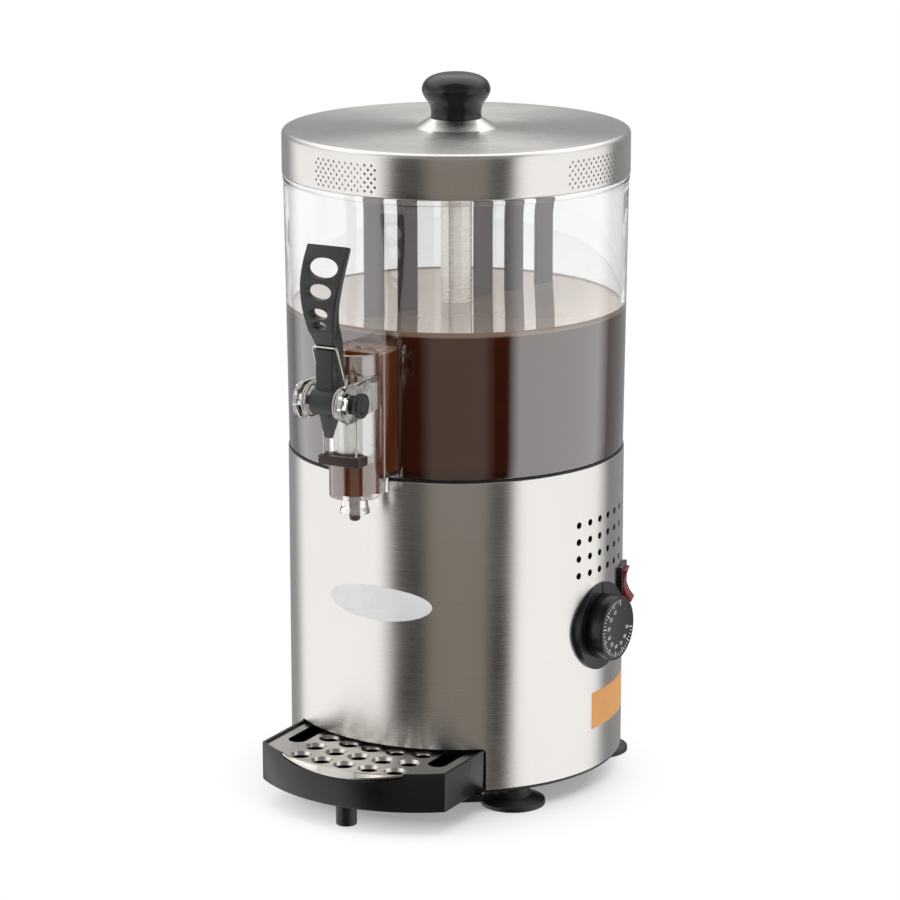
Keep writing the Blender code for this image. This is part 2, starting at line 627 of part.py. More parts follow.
def make_element(axis):
    """Tubular heating element: an open ring under the pan, with its two tails turned down."""
    spline_points = []
    start = -math.pi / 2 + ELEMENT_OPENING / 2
    sweep = math.tau - ELEMENT_OPENING
    steps = SMALL_SIDES * 2
    for k in range(steps + 1):
        turn = start + sweep * k / steps
        spline_points.append((ELEMENT_RADIUS * math.cos(turn), ELEMENT_RADIUS * math.sin(turn),
                              ELEMENT_CENTRE))
    first, last = spline_points[0], spline_points[-1]
    bend = ELEMENT_TUBE_RADIUS * 2
    tails = []
    for end, before in ((first, spline_points[1]), (last, spline_points[-2])):
        along = (Vector(end) - Vector(before)).normalized()
        down = Vector((0, 0, -1))
        corner = Vector(end)
        tail = [corner + along * bend * math.sin(t) + down * bend * (1 - math.cos(t))
                for t in (math.pi / 6, math.pi / 3, math.pi / 2)]
        tail.append(tail[-1] + down * ELEMENT_TAIL)
        tails.append([tuple(p) for p in tail])
    points = list(reversed(tails[0])) + spline_points + tails[1]
    tube(axis, "heating_element", points, ELEMENT_TUBE_RADIUS, 1, GREY_STEEL)


def tube(parent, name, points, radius, resolution, material):
    """Round bar along a smooth run of points, with closed ends."""
    curve = bpy.data.curves.new(name, "CURVE")
    curve.dimensions = "3D"
    curve.bevel_depth = radius
    curve.bevel_resolution = resolution
    curve.render_resolution_u = 0
    curve.use_fill_caps = True
    spline = curve.splines.new("POLY")
    spline.points.add(len(points) - 1)
    for slot, point in zip(spline.points, points):
        slot.co = (*point, 1.0)
    curve.materials.append(material)
    part = bpy.data.objects.new(name, curve)
    bpy.context.collection.objects.link(part)
    part.parent = parent
    return part


def make_drive(axis):
    """Motor and gearbox on a folded bracket that stands on the base plate."""
    floor = BASE_PLATE_TOP + GAP
    top = floor + BRACKET_HEIGHT
    half, deep = BRACKET_SPAN / 2, BRACKET_DEPTH / 2
    bracket = piece("motor_bracket", block((-half, -deep, floor), (half, deep, top)), GREY_STEEL, axis)
    inner = half - BRACKET_SHEET
    reach = deep + OVERRUN
    carve(bracket, block((-inner, -reach, floor - OVERRUN), (inner, reach, top - BRACKET_SHEET)))
    bore = SHAFT_RADIUS + RUNNING_GAP
    hole = [(0, top - BRACKET_SHEET - OVERRUN), (bore * 2, top - BRACKET_SHEET - OVERRUN)]
    hole += [(bore * 2, top + OVERRUN), (0, top + OVERRUN)]
    carve(bracket, turned(hole, SMALL_SIDES))

    box_top = top - BRACKET_SHEET - GAP
    width, length, height = GEARBOX_SIZE
    gearbox = piece("gearbox", block((-width / 2, -length / 2, box_top - height),
                                     (width / 2, length / 2, box_top)),
                    GREY_STEEL, axis)
    socket_floor = box_top - SHAFT_ENGAGEMENT
    socket = [(0, socket_floor), (bore, socket_floor), (bore, box_top + OVERRUN), (0, box_top + OVERRUN)]
    carve(gearbox, turned(socket, SMALL_SIDES))

    motor_top = box_top - height - GAP
    motor_bottom = motor_top - MOTOR_LENGTH
    end_cap = MOTOR_RADIUS / 3
    can = [(0, motor_bottom - end_cap / 2), (end_cap, motor_bottom - end_cap / 2), (end_cap, motor_bottom)]
    can += [(MOTOR_RADIUS, motor_bottom), (MOTOR_RADIUS, motor_top), (0, motor_top)]
    piece("gear_motor", turned(can, SMALL_SIDES), BLACK_PLASTIC, axis)
    return socket_floor + GAP


def make_paddle(axis, shaft_bottom):
    """Stirring paddle: a bar over the column with five staggered blades, and the shaft that turns it."""
    spin = empty("paddle_axis", axis, Matrix.Rotation(PADDLE_AZIMUTH, 4, "Z"))
    bar_top = PADDLE_BAR_BOTTOM + PADDLE_BAR_HEIGHT
    thick = PADDLE_BAR_THICKNESS / 2
    blade_half, blade_thick = PADDLE_BLADE_WIDTH / 2, PADDLE_BLADE_THICKNESS / 2
    places = [PADDLE_REACH * share for share in PADDLE_BLADE_SHARES]
    ends = (places[0] - blade_half, places[-1] + blade_half)
    bar = block((ends[0], -thick, PADDLE_BAR_BOTTOM), (ends[1], thick, bar_top))
    paddle = piece("stirring_paddle", bar, PADDLE_GREY, spin)
    hub = [(0, PADDLE_BAR_BOTTOM), (PADDLE_HUB_RADIUS, PADDLE_BAR_BOTTOM), (PADDLE_HUB_RADIUS, bar_top),
           (0, bar_top)]
    fuse(paddle, turned(hub, SMALL_SIDES))
    bottom = HOUSING_TOP + PADDLE_FLOOR_GAP
    corner = blade_half / 2
    for place in places:
        left, right = place - blade_half, place + blade_half
        outline = [(left, bottom + corner), (left + corner, bottom), (right - corner, bottom),
                   (right, bottom + corner)]
        root = PADDLE_BAR_BOTTOM + PADDLE_BAR_HEIGHT / 2
        outline += [(right, root), (left, root)]
        upright = Matrix.Rotation(math.pi / 2, 4, "X")
        fuse(paddle, placed(prism(outline, -blade_thick, blade_thick), upright))
    roof = bar_top - LID_SHEET
    bore = SHAFT_RADIUS + GAP
    socket = [(0, PADDLE_BAR_BOTTOM - OVERRUN), (bore, PADDLE_BAR_BOTTOM - OVERRUN), (bore, roof), (0, roof)]
    carve(paddle, turned(socket, SMALL_SIDES))

    shaft_top = roof - GAP
    shaft = [(0, shaft_bottom), (SHAFT_RADIUS, shaft_bottom), (SHAFT_RADIUS, shaft_top), (0, shaft_top)]
    piece("drive_shaft", turned(shaft, SMALL_SIDES), STAINLESS, spin)


def make_tank(axis):
    """Clear tank, moulded in one with the tap's box, chamber, nozzle and ears."""
    neck = LID_RADIUS - TANK_NECK_INSET
    bead_top = LID_EDGE - GAP
    bead_bottom = bead_top - TANK_BEAD_HEIGHT
    foot_top = TANK_BOTTOM + TANK_FOOT_THICKNESS
    profile = [(TANK_FOOT_RADIUS, TANK_BOTTOM), (TANK_SHOULDER_RADIUS, bead_bottom),
               (TANK_BEAD_RADIUS, bead_bottom)]
    profile += [(TANK_BEAD_RADIUS, bead_top), (neck, bead_top), (neck, TANK_TOP),
                (neck - TANK_WALL, TANK_TOP)]
    profile += [(neck - TANK_WALL, bead_top), (TANK_SHOULDER_RADIUS - TANK_WALL, bead_bottom)]
    profile += [(TANK_FOOT_RADIUS - TANK_WALL, foot_top), (TANK_FOOT_RADIUS - TANK_FOOT_WIDTH, foot_top)]
    profile += [(TANK_FOOT_RADIUS - TANK_FOOT_WIDTH, TANK_BOTTOM)]
    tank = piece("tank_shell", turned(profile, LARGE_SIDES), CLEAR, axis)

    wall_front = TANK_FOOT_RADIUS - TANK_WALL / 2
    box_back = -math.sqrt(wall_front**2 - TAP_BOX_HALF_WIDTH**2)
    tap_box = block((-TAP_BOX_HALF_WIDTH, -TAP_BOX_FRONT, TAP_BOTTOM),
                    (TAP_BOX_HALF_WIDTH, box_back, TAP_TOP))
    fuse(tank, tap_box)
    chamber_place = Matrix.Translation((0, -CHAMBER_REACH, 0))
    nozzle_bottom = CHAMBER_BOTTOM - NOZZLE_LENGTH
    lip = NOZZLE_LENGTH / 5
    chamber = [(0, nozzle_bottom), (NOZZLE_RADIUS, nozzle_bottom), (NOZZLE_RADIUS, nozzle_bottom + lip)]
    chamber += [(NOZZLE_RADIUS - lip / 2, nozzle_bottom + 2 * lip), (NOZZLE_RADIUS - lip / 2, CHAMBER_BOTTOM)]
    chamber += [(CHAMBER_RADIUS, CHAMBER_BOTTOM), (CHAMBER_RADIUS, TAP_TOP), (0, TAP_TOP)]
    hollow = TAP_BOX_HALF_WIDTH - TAP_WALL
    chamber_back = CHAMBER_REACH - CHAMBER_RADIUS
    hollow_low = (-hollow, -TAP_BOX_FRONT + TAP_WALL, TAP_BOTTOM + TAP_WALL)
    hollow_high = (hollow, -TANK_FOOT_RADIUS + TAP_BOX_HALF_WIDTH / 2, TAP_TOP - TAP_WALL)
    carve(tank, block(hollow_low, hollow_high))
    fuse(tank, placed(turned(chamber, MEDIUM_SIDES), chamber_place))

    pivot = Matrix.Translation((0, -PIVOT_REACH, PIVOT_HEIGHT))
    reach = PIVOT_REACH - CHAMBER_REACH
    for side in (-1, 1):
        faces = sorted((side * EAR_INNER_FACE, side * (EAR_INNER_FACE + EAR_THICKNESS)))
        ear = arc((0, 0), EAR_RADIUS, math.pi / 2, 3 * math.pi / 2, SMALL_SIDES // 2)
        ear += [(reach, -EAR_RADIUS * 0.75), (reach, EAR_RADIUS)]
        fuse(tank, placed(prism(ear, faces[0], faces[1]), pivot @ SIDEWAYS))

    peg = [(0, TAP_BOTTOM - PEG_LENGTH), (PEG_RADIUS, TAP_BOTTOM - PEG_LENGTH)]
    peg += [(PEG_RADIUS, TAP_BOTTOM + TAP_WALL / 2), (0, TAP_BOTTOM + TAP_WALL / 2)]
    peg_place = Matrix.Translation((TAP_BOX_HALF_WIDTH - PEG_RADIUS - GAP, -TAP_BOX_FRONT + PEG_SETBACK, 0))
    fuse(tank, placed(turned(peg, HOLE_SIDES), peg_place))

    floor = CHAMBER_BOTTOM + CHAMBER_FLOOR
    bore = [(0, nozzle_bottom - OVERRUN), (NOZZLE_BORE_RADIUS, nozzle_bottom - OVERRUN)]
    bore += [(NOZZLE_BORE_RADIUS, CHAMBER_BOTTOM), (SEAT_BORE_RADIUS, CHAMBER_BOTTOM),
             (SEAT_BORE_RADIUS, floor)]
    bore += [(CHAMBER_BORE, floor), (CHAMBER_BORE, TAP_TOP + OVERRUN), (0, TAP_TOP + OVERRUN)]
    half_step = math.pi / MEDIUM_SIDES
    carve(tank, placed(turned(bore, MEDIUM_SIDES, half_step), chamber_place))
    inlet_top = TAP_BOTTOM + TAP_WALL + CHAMBER_INLET_HEIGHT
    inlet_half = CHAMBER_BORE * 0.7
    inlet_low = (-inlet_half, -CHAMBER_REACH, TAP_BOTTOM + TAP_WALL)
    carve(tank, block(inlet_low, (inlet_half, OVERRUN - chamber_back, inlet_top)))

    slot_half = BEAK_THICKNESS / 2 + RUNNING_GAP
    lift = LIFTER_REACH * math.sin(LEVER_SWING)
    middle = PIVOT_HEIGHT - LIFTER_DROP
    front = CHAMBER_REACH + CHAMBER_RADIUS + OVERRUN
    slot_low = middle - LIFTER_RADIUS - RUNNING_GAP
    slot_high = middle + lift + LIFTER_RADIUS + RUNNING_GAP
    carve(tank, block((-slot_half, -front, slot_low), (slot_half, -CHAMBER_REACH, slot_high)))

    axle_hole = AXLE_RADIUS + GAP
    far = EAR_INNER_FACE + EAR_THICKNESS + OVERRUN
    pin = [(0, -far), (axle_hole, -far), (axle_hole, far), (0, far)]
    carve(tank, placed(turned(pin, SMALL_SIDES), pivot @ ALONG_X))


# Outlines drawn as (behind the axle, above the axle) stand upright: local X to +Y, Y to +Z and Z to +X
SIDEWAYS = Matrix(((0, 0, 1, 0), (1, 0, 0, 0), (0, 1, 0, 0), (0, 0, 0, 1)))


def make_axle(axis):
    """Axle with a waisted mushroom head on the right and a thin tip on the left."""
    face = EAR_INNER_FACE + EAR_THICKNESS
    head = face + GAP
    neck_end = head + AXLE_NECK_LENGTH
    head_end = neck_end + AXLE_HEAD_LENGTH
    tip = -face - GAP
    profile = [(0, tip - AXLE_TIP_LENGTH), (AXLE_TIP_RADIUS, tip - AXLE_TIP_LENGTH), (AXLE_TIP_RADIUS, tip)]
    profile += [(AXLE_RADIUS, tip), (AXLE_RADIUS, head), (AXLE_NECK_RADIUS * 1.2, head)]
    profile += [(AXLE_NECK_RADIUS, (head + neck_end) / 2), (AXLE_HEAD_RADIUS, neck_end + GAP)]
    profile += [(AXLE_HEAD_RADIUS, head_end - GAP), (AXLE_HEAD_RADIUS - GAP, head_end)]
    profile += [(AXLE_HEAD_RADIUS * 0.62, head_end), (AXLE_HEAD_RADIUS * 0.5, head_end - GAP * 2),
                (0, head_end - GAP * 2)]
    place = empty("axle_place", axis, Matrix.Translation((0, -PIVOT_REACH, PIVOT_HEIGHT)) @ ALONG_X)
    piece("tap_axle", turned(profile, SMALL_SIDES), BLACK_PLASTIC, place)


def lever_sections():
    """Rings of the lever from the hub up: a deep narrow stem that fans out into a thin curved blade."""
    height_shares = (0.0, 0.10, 0.18, 0.40, 0.62, 0.82, 1.0)
    bulge_shares = (0.0, 0.30, 0.62, 1.0, 0.80, 0.12, -0.80)
    fan_shares = (0.06, 0.20, 0.36, 0.65, 0.90, 1.0, 1.0)
    thin_shares = (0.26, 0.42, 0.60, 0.80, 0.91, 0.96, 1.0)
    front = -STEM_THICKNESS * 0.18
    stations = [(0, front - GAP, STEM_THICKNESS, STEM_WIDTH),
                (STEM_HEIGHT * 0.55, front - GAP, STEM_THICKNESS, STEM_WIDTH)]
    for height, bulge, fan, thin in zip(height_shares, bulge_shares, fan_shares, thin_shares):
        z = STEM_HEIGHT + BLADE_HEIGHT * height
        thickness = STEM_THICKNESS + (BLADE_THICKNESS - STEM_THICKNESS) * thin
        width = STEM_WIDTH + (BLADE_WIDTH - STEM_WIDTH) * fan
        stations.append((z, front - BLADE_BULGE * bulge, thickness, width))
    rings = []
    for k, (z, y, thickness, width) in enumerate(stations):
        before = stations[max(k - 1, 0)]
        after = stations[min(k + 1, len(stations) - 1)]
        along = Vector((after[1] - before[1], after[0] - before[0])).normalized()
        back_y, back_z = along.y * thickness, -along.x * thickness
        half = width / 2
        edge = BLADE_THICKNESS / 4
        inset = edge / thickness
        ring = []
        for x, share in ((-half + edge, 0), (half - edge, 0), (half, inset), (half, 1 - inset),
                         (half - edge, 1), (-half + edge, 1), (-half, 1 - inset), (-half, inset)):
            ring.append((x, y + back_y * share, z + back_z * share))
        rings.append(ring)
    return rings


def make_lever(axis):
    """Tap lever on its axle: hub, stem, blade with four oval windows, beak and the lifter in the plunger."""
    pivot = empty("lever_axis", axis, Matrix.Translation((0, -PIVOT_REACH, PIVOT_HEIGHT)))
    lever = piece("tap_lever", lofted(lever_sections()), CHARCOAL, pivot)
    hub = [(0, -HUB_HALF_WIDTH), (HUB_RADIUS, -HUB_HALF_WIDTH), (HUB_RADIUS, HUB_HALF_WIDTH),
           (0, HUB_HALF_WIDTH)]
    fuse(lever, placed(turned(hub, MEDIUM_SIDES), ALONG_X))

    neck = LIFTER_RADIUS * 0.75
    reach_shares = (0.06, 0.10, 0.42, 0.62)
    drop_shares = (1.0, 1.0, 0.56, 0.16)
    beak = [(-HUB_RADIUS * 0.5, -HUB_RADIUS * 0.86)]
    beak += [(LIFTER_REACH * r, -BEAK_LENGTH * d) for r, d in zip(reach_shares, drop_shares)]
    beak += [(LIFTER_REACH, -LIFTER_DROP - neck), (LIFTER_REACH, -LIFTER_DROP + neck),
             (0, -LIFTER_DROP + neck)]
    thick = BEAK_THICKNESS / 2
    fuse(lever, placed(prism(beak, -thick, thick), SIDEWAYS))
    bead = arc((LIFTER_REACH, -LIFTER_DROP), LIFTER_RADIUS, 0, math.tau * (1 - 1 / HOLE_SIDES),
               HOLE_SIDES - 1)
    fuse(lever, placed(prism(bead, -thick, thick), SIDEWAYS))

    bore = AXLE_RADIUS + GAP
    far = HUB_HALF_WIDTH + OVERRUN
    carve(lever, placed(turned([(0, -far), (bore, -far), (bore, far), (0, far)], SMALL_SIDES), ALONG_X))
    groove = WIRE_RADIUS * 2.5
    front = -STEM_THICKNESS * 0.18
    carve(lever, block((-STEM_WIDTH, front - STEM_WIDTH, STEM_HEIGHT - groove),
                       (STEM_WIDTH, front + GROOVE_DEPTH, STEM_HEIGHT + groove)))
    facing = Matrix.Rotation(math.pi / 2, 4, "X")
    for height, width in zip(WINDOW_HEIGHTS, WINDOW_WIDTHS):
        outline = [(x, z * 0.55) for x, z in arc((0, 0), width / 2, 0, math.tau * (1 - 1 / SMALL_SIDES),
                                                 SMALL_SIDES - 1)]
        window = prism(outline, -STEM_WIDTH, STEM_WIDTH)
        carve(lever, placed(window, Matrix.Translation((0, 0, height)) @ facing))


def spring_points():
    """Centre line of the double torsion spring: leg, coil, loop over the lever, coil, leg."""
    loop_y = -STEM_THICKNESS * 0.18 + GROOVE_DEPTH - GAP - WIRE_RADIUS
    loop_z = STEM_HEIGHT
    inner = HUB_HALF_WIDTH + GAP + WIRE_RADIUS
    outer = inner + COIL_PITCH * COIL_TURNS
    reach = math.hypot(loop_y, loop_z)
    tangent = math.atan2(loop_z, loop_y) - math.acos(COIL_RADIUS / reach)
    per_turn = 12
    half = [(STEM_WIDTH / 4, loop_y, loop_z)]
    corner = inner - WIRE_RADIUS
    half.append((corner - WIRE_RADIUS * 2, loop_y, loop_z))
    half.append((corner - WIRE_RADIUS / 2, loop_y + GAP, loop_z - WIRE_RADIUS))
    half.append((corner, loop_y + GAP * 2, loop_z - WIRE_RADIUS * 2.5))
    touch = Vector((inner, COIL_RADIUS * math.cos(tangent), COIL_RADIUS * math.sin(tangent)))
    start = Vector(half[-1])
    for share in (0.3, 0.6, 0.85):
        half.append(tuple(start.lerp(touch, share)))
    for k in range(per_turn * COIL_TURNS + 1):
        turn = tangent - math.tau * k / per_turn
        half.append((inner + COIL_PITCH * k / per_turn, COIL_RADIUS * math.cos(turn),
                     COIL_RADIUS * math.sin(turn)))
    leave = Vector(half[-1])
    socket_floor = -REST_DROP + REST_HEIGHT - REST_SOCKET_DEPTH + GAP
    knee = Vector((LEG_SPREAD + (outer - LEG_SPREAD) / 2, LEG_BACKSET,
                   leave.z - (LEG_BACKSET - leave.y) * 2.6))
    foot = Vector((LEG_SPREAD, LEG_BACKSET, socket_floor))
    for share in (0.2, 0.4, 0.6, 0.8, 1.0):
        straight = leave.lerp(knee, share)
        ease = math.sin(share * math.pi / 2)
        half.append((straight.x, leave.y + (knee.y - leave.y) * ease, straight.z))
    for share in (0.4, 0.8, 1.0):
        half.append(tuple(knee.lerp(foot, share)))
    return [(-x, y, z) for x, y, z in reversed(half)] + half


def least_gap(points):
    """Least free distance between stretches of a wire that aren't neighbours along it."""
    centres = []
    for low, high in zip(points, points[1:]):
        for share in (0, 0.25, 0.5, 0.75):
            centres.append(Vector(low).lerp(Vector(high), share))
    lengths = [0.0]
    for low, high in zip(centres, centres[1:]):
        lengths.append(lengths[-1] + (high - low).length)
    least = math.inf
    for i, here in enumerate(centres):
        for j in range(i + 1, len(centres)):
            if lengths[j] - lengths[i] > WIRE_RADIUS * 8:
                least = min(least, (centres[j] - here).length)
    return least - 2 * WIRE_RADIUS


def make_spring(axis):
    """Spring round the hub's ends and the brown rest that holds its legs against the chamber."""
    place = empty("spring_place", axis, Matrix.Translation((0, -PIVOT_REACH, PIVOT_HEIGHT)))
    points = spring_points()
    print("least gap of the spring's wire to itself, mm:", round(least_gap(points) * 1000, 3))
    tube(place, "tap_spring", points, WIRE_RADIUS, 1, STAINLESS)

    bottom = PIVOT_HEIGHT - REST_DROP
    low = (-REST_HALF_WIDTH, -CHAMBER_REACH - REST_FRONT, bottom)
    high = (REST_HALF_WIDTH, -CHAMBER_REACH - CHAMBER_RADIUS / 2, bottom + REST_HEIGHT)
    rest = piece("spring_rest", block(low, high), BROWN_SILICONE, axis)
    saddle = CHAMBER_RADIUS + GAP
    hollow = [(0, bottom - OVERRUN), (saddle, bottom - OVERRUN), (saddle, bottom + REST_HEIGHT + OVERRUN)]
    hollow += [(0, bottom + REST_HEIGHT + OVERRUN)]
    carve(rest, placed(turned(hollow, MEDIUM_SIDES), Matrix.Translation((0, -CHAMBER_REACH, 0))))
    top = bottom + REST_HEIGHT
    radius = WIRE_RADIUS + GAP * 1.5
    socket = [(0, top - REST_SOCKET_DEPTH), (radius, top - REST_SOCKET_DEPTH), (radius, top + OVERRUN),
              (0, top + OVERRUN)]
    for side in (-1, 1):
        spot = Matrix.Translation((side * LEG_SPREAD, -PIVOT_REACH + LEG_BACKSET, 0))
        carve(rest, placed(turned(socket, HOLE_SIDES), spot))


def make_plunger(axis):
    """Drawn steel plunger with a slot for the lever's lifter, its seal, and the tip that shuts the nozzle."""
    slide = empty("plunger_axis", axis, Matrix.Translation((0, -CHAMBER_REACH, 0)))
    radius = CHAMBER_BORE - GAP
    top = PLUNGER_BOTTOM + PLUNGER_LENGTH
    bore = TIP_SPIGOT_RADIUS + GAP
    bore_top = PLUNGER_BOTTOM + TIP_SPIGOT_LENGTH + GAP
    boss = bore + 2 * PLUNGER_WALL
    floor = PLUNGER_BOTTOM + PLUNGER_WALL
    body = [(bore, PLUNGER_BOTTOM), (radius, PLUNGER_BOTTOM), (radius, top), (radius - PLUNGER_WALL, top)]
    body += [(radius - PLUNGER_WALL, floor), (boss, floor), (boss, bore_top + PLUNGER_WALL)]
    body += [(0, bore_top + PLUNGER_WALL), (0, bore_top), (bore, bore_top)]
    plunger = piece("tap_plunger", turned(body, MEDIUM_SIDES), STAINLESS, slide)
    half = BEAK_THICKNESS / 2 + RUNNING_GAP
    middle = PIVOT_HEIGHT - LIFTER_DROP
    slack = LIFTER_RADIUS + RUNNING_GAP * 2
    pocket_back = CHAMBER_REACH - PIVOT_REACH + LIFTER_REACH + slack
    carve(plunger, block((-half, -radius - OVERRUN, middle - slack), (half, pocket_back, middle + slack)))

    seal_top = PLUNGER_BOTTOM - GAP
    seal_bottom = seal_top - SEAL_THICKNESS
    lip = SEAL_THICKNESS / 3
    seal = [(bore, seal_bottom), (radius - lip, seal_bottom), (radius, seal_bottom + lip), (radius, seal_top)]
    seal += [(bore, seal_top)]
    piece("plunger_seal", turned(seal, MEDIUM_SIDES), BROWN_SILICONE, slide)

    seat = CHAMBER_BOTTOM + CHAMBER_FLOOR + GAP
    flange_top = seal_bottom - GAP
    flange_bottom = flange_top - TIP_FLANGE_THICKNESS
    end = CHAMBER_BOTTOM - TIP_REACH
    tip = [(0, end), (TIP_RADIUS * 0.7, end), (TIP_RADIUS, end + TIP_RADIUS * 0.3), (TIP_RADIUS, seat)]
    tip += [(VALVE_RADIUS, seat), (VALVE_RADIUS, seat + VALVE_THICKNESS),
            (TIP_RADIUS, seat + 2 * VALVE_THICKNESS)]
    tip += [(TIP_RADIUS, flange_bottom), (TIP_FLANGE_RADIUS, flange_bottom), (TIP_FLANGE_RADIUS, flange_top)]
    tip += [(TIP_SPIGOT_RADIUS, flange_top), (TIP_SPIGOT_RADIUS, PLUNGER_BOTTOM + TIP_SPIGOT_LENGTH)]
    tip += [(0, PLUNGER_BOTTOM + TIP_SPIGOT_LENGTH)]
    piece("plunger_tip", turned(tip, SMALL_SIDES), BROWN_SILICONE, slide)


def make_lid(axis):
    """Pressed stainless lid with a turned black knob on its centre cone."""
    lid_axis = empty("lid_axis", axis)
    cone_top = LID_TOP + LID_CONE_HEIGHT
    hole = LID_SCREW_RADIUS + GAP
    inner = LID_RADIUS - LID_SHEET
    corner = arc((LID_RADIUS - LID_CORNER, LID_TOP - LID_CORNER), LID_CORNER, 0, math.pi / 2, 3)
    inside = arc((LID_RADIUS - LID_CORNER, LID_TOP - LID_CORNER), LID_CORNER - LID_SHEET, math.pi / 2, 0, 2)
    profile = [(LID_RADIUS, LID_EDGE)] + corner
    profile += [(LID_CONE_FOOT_RADIUS, LID_TOP), (LID_CONE_TOP_RADIUS, cone_top), (hole, cone_top)]
    profile += [(hole, cone_top - LID_SHEET), (LID_CONE_TOP_RADIUS - LID_SHEET / 2, cone_top - LID_SHEET)]
    profile += [(LID_CONE_FOOT_RADIUS - LID_SHEET / 2, LID_UNDERSIDE)] + inside + [(inner, LID_EDGE)]
    piece("lid_shell", turned(profile, LARGE_SIDES), STAINLESS, lid_axis)

    foot = cone_top + GAP
    height_shares = (0.0, 0.14, 0.30, 0.45, 0.61, 0.78, 0.90, 0.97, 1.0)
    radius_shares = (0.747, 0.738, 0.80, 0.93, 1.0, 0.93, 0.74, 0.44, 0.0)
    knob = [(LID_KNOB_RADIUS * r, foot + LID_KNOB_HEIGHT * h) for h, r in zip(height_shares, radius_shares)]
    screw_tip = cone_top - LID_SHEET + LID_SCREW_LENGTH
    knob += [(0, screw_tip + GAP), (hole, screw_tip + GAP), (hole, foot)]
    piece("lid_knob", turned(knob, MEDIUM_SIDES), GLOSS_BLACK, lid_axis)

    seat = cone_top - LID_SHEET - GAP
    head = LID_SCREW_RADIUS * 1.2
    screw = [(0, seat - head), (LID_SCREW_HEAD_RADIUS, seat - head), (LID_SCREW_HEAD_RADIUS, seat)]
    screw += [(LID_SCREW_RADIUS, seat), (LID_SCREW_RADIUS, screw_tip), (0, screw_tip)]
    piece("lid_screw", turned(screw, HOLE_SIDES), GREY_STEEL, lid_axis)


def make_thermostat(axis, shell):
    """Thermostat in the housing's side: body, bezel, spindle and knob."""
    place = empty("thermostat_axis", axis, wall_frame(DIAL_AZIMUTH, HOUSING_BOTTOM + DIAL_HEIGHT))
    neck_bore = THERMOSTAT_NECK_RADIUS + GAP
    pierce(shell, place, neck_bore)
    sink = HOUSING_RADIUS - math.sqrt(HOUSING_RADIUS**2 - BEZEL_RADIUS**2)
    back = -sink - OVERRUN
    edge = BEZEL_FACE / 3
    ring = [(neck_bore, back), (BEZEL_RADIUS, back), (BEZEL_RADIUS, BEZEL_FACE - edge),
            (BEZEL_RADIUS - edge, BEZEL_FACE)]
    ring += [(neck_bore, BEZEL_FACE)]
    bezel = piece("dial_bezel", turned(ring, MEDIUM_SIDES), BLACK_PLASTIC, place)
    wall = HOUSING_RADIUS + GAP
    low, high = HOUSING_BOTTOM, HOUSING_TOP
    carve(bezel, turned([(0, low), (wall, low), (wall, high), (0, high)], LARGE_SIDES), carrier=axis)
    half = BEZEL_NOTCH_WIDTH / 2
    carve(bezel, block((-half, DIAL_RADIUS + GAP, BEZEL_FACE - edge * 2),
                       (half, BEZEL_RADIUS + OVERRUN, BEZEL_FACE + OVERRUN)))

    face = -THERMOSTAT_SETBACK
    bottom = face - THERMOSTAT_DEPTH
    spindle_bore = SPINDLE_RADIUS + RUNNING_GAP
    can = [(0, bottom), (THERMOSTAT_RADIUS, bottom), (THERMOSTAT_RADIUS, face),
           (THERMOSTAT_NECK_RADIUS, face)]
    can += [(THERMOSTAT_NECK_RADIUS, BEZEL_FACE - GAP), (spindle_bore, BEZEL_FACE - GAP)]
    spindle_end = bottom + THERMOSTAT_DEPTH / 3
    can += [(spindle_bore, spindle_end), (0, spindle_end)]
    body = piece("thermostat_body", turned(can, SMALL_SIDES), GREY_STEEL, place)
    width, thickness, length = THERMOSTAT_TAB_SIZE
    for side in (-1, 1):
        y = side * THERMOSTAT_RADIUS / 2
        fuse(body, block((-width / 2, y - thickness / 2, bottom - length),
                         (width / 2, y + thickness / 2, bottom + OVERRUN)))

    knob_foot = BEZEL_FACE + RUNNING_GAP
    roof = DIAL_FACE - DIAL_WALL
    hub = SPINDLE_RADIUS + DIAL_WALL
    bore = SPINDLE_RADIUS + GAP
    knob = [(DIAL_RADIUS - DIAL_WALL, knob_foot), (DIAL_RADIUS, knob_foot),
            (DIAL_RADIUS, DIAL_FACE - DIAL_CHAMFER)]
    knob += [(DIAL_RADIUS - DIAL_CHAMFER, DIAL_FACE), (0, DIAL_FACE), (0, roof), (bore, roof),
             (bore, knob_foot)]
    knob += [(hub, knob_foot), (hub, roof), (DIAL_RADIUS - DIAL_WALL, roof)]
    piece("thermostat_knob", turned(knob, MEDIUM_SIDES), BLACK_PLASTIC, place)
    spindle = [(0, spindle_end + GAP), (SPINDLE_RADIUS, spindle_end + GAP), (SPINDLE_RADIUS, roof - GAP),
               (0, roof - GAP)]
    piece("thermostat_spindle", turned(spindle, HOLE_SIDES), GREY_STEEL, place)


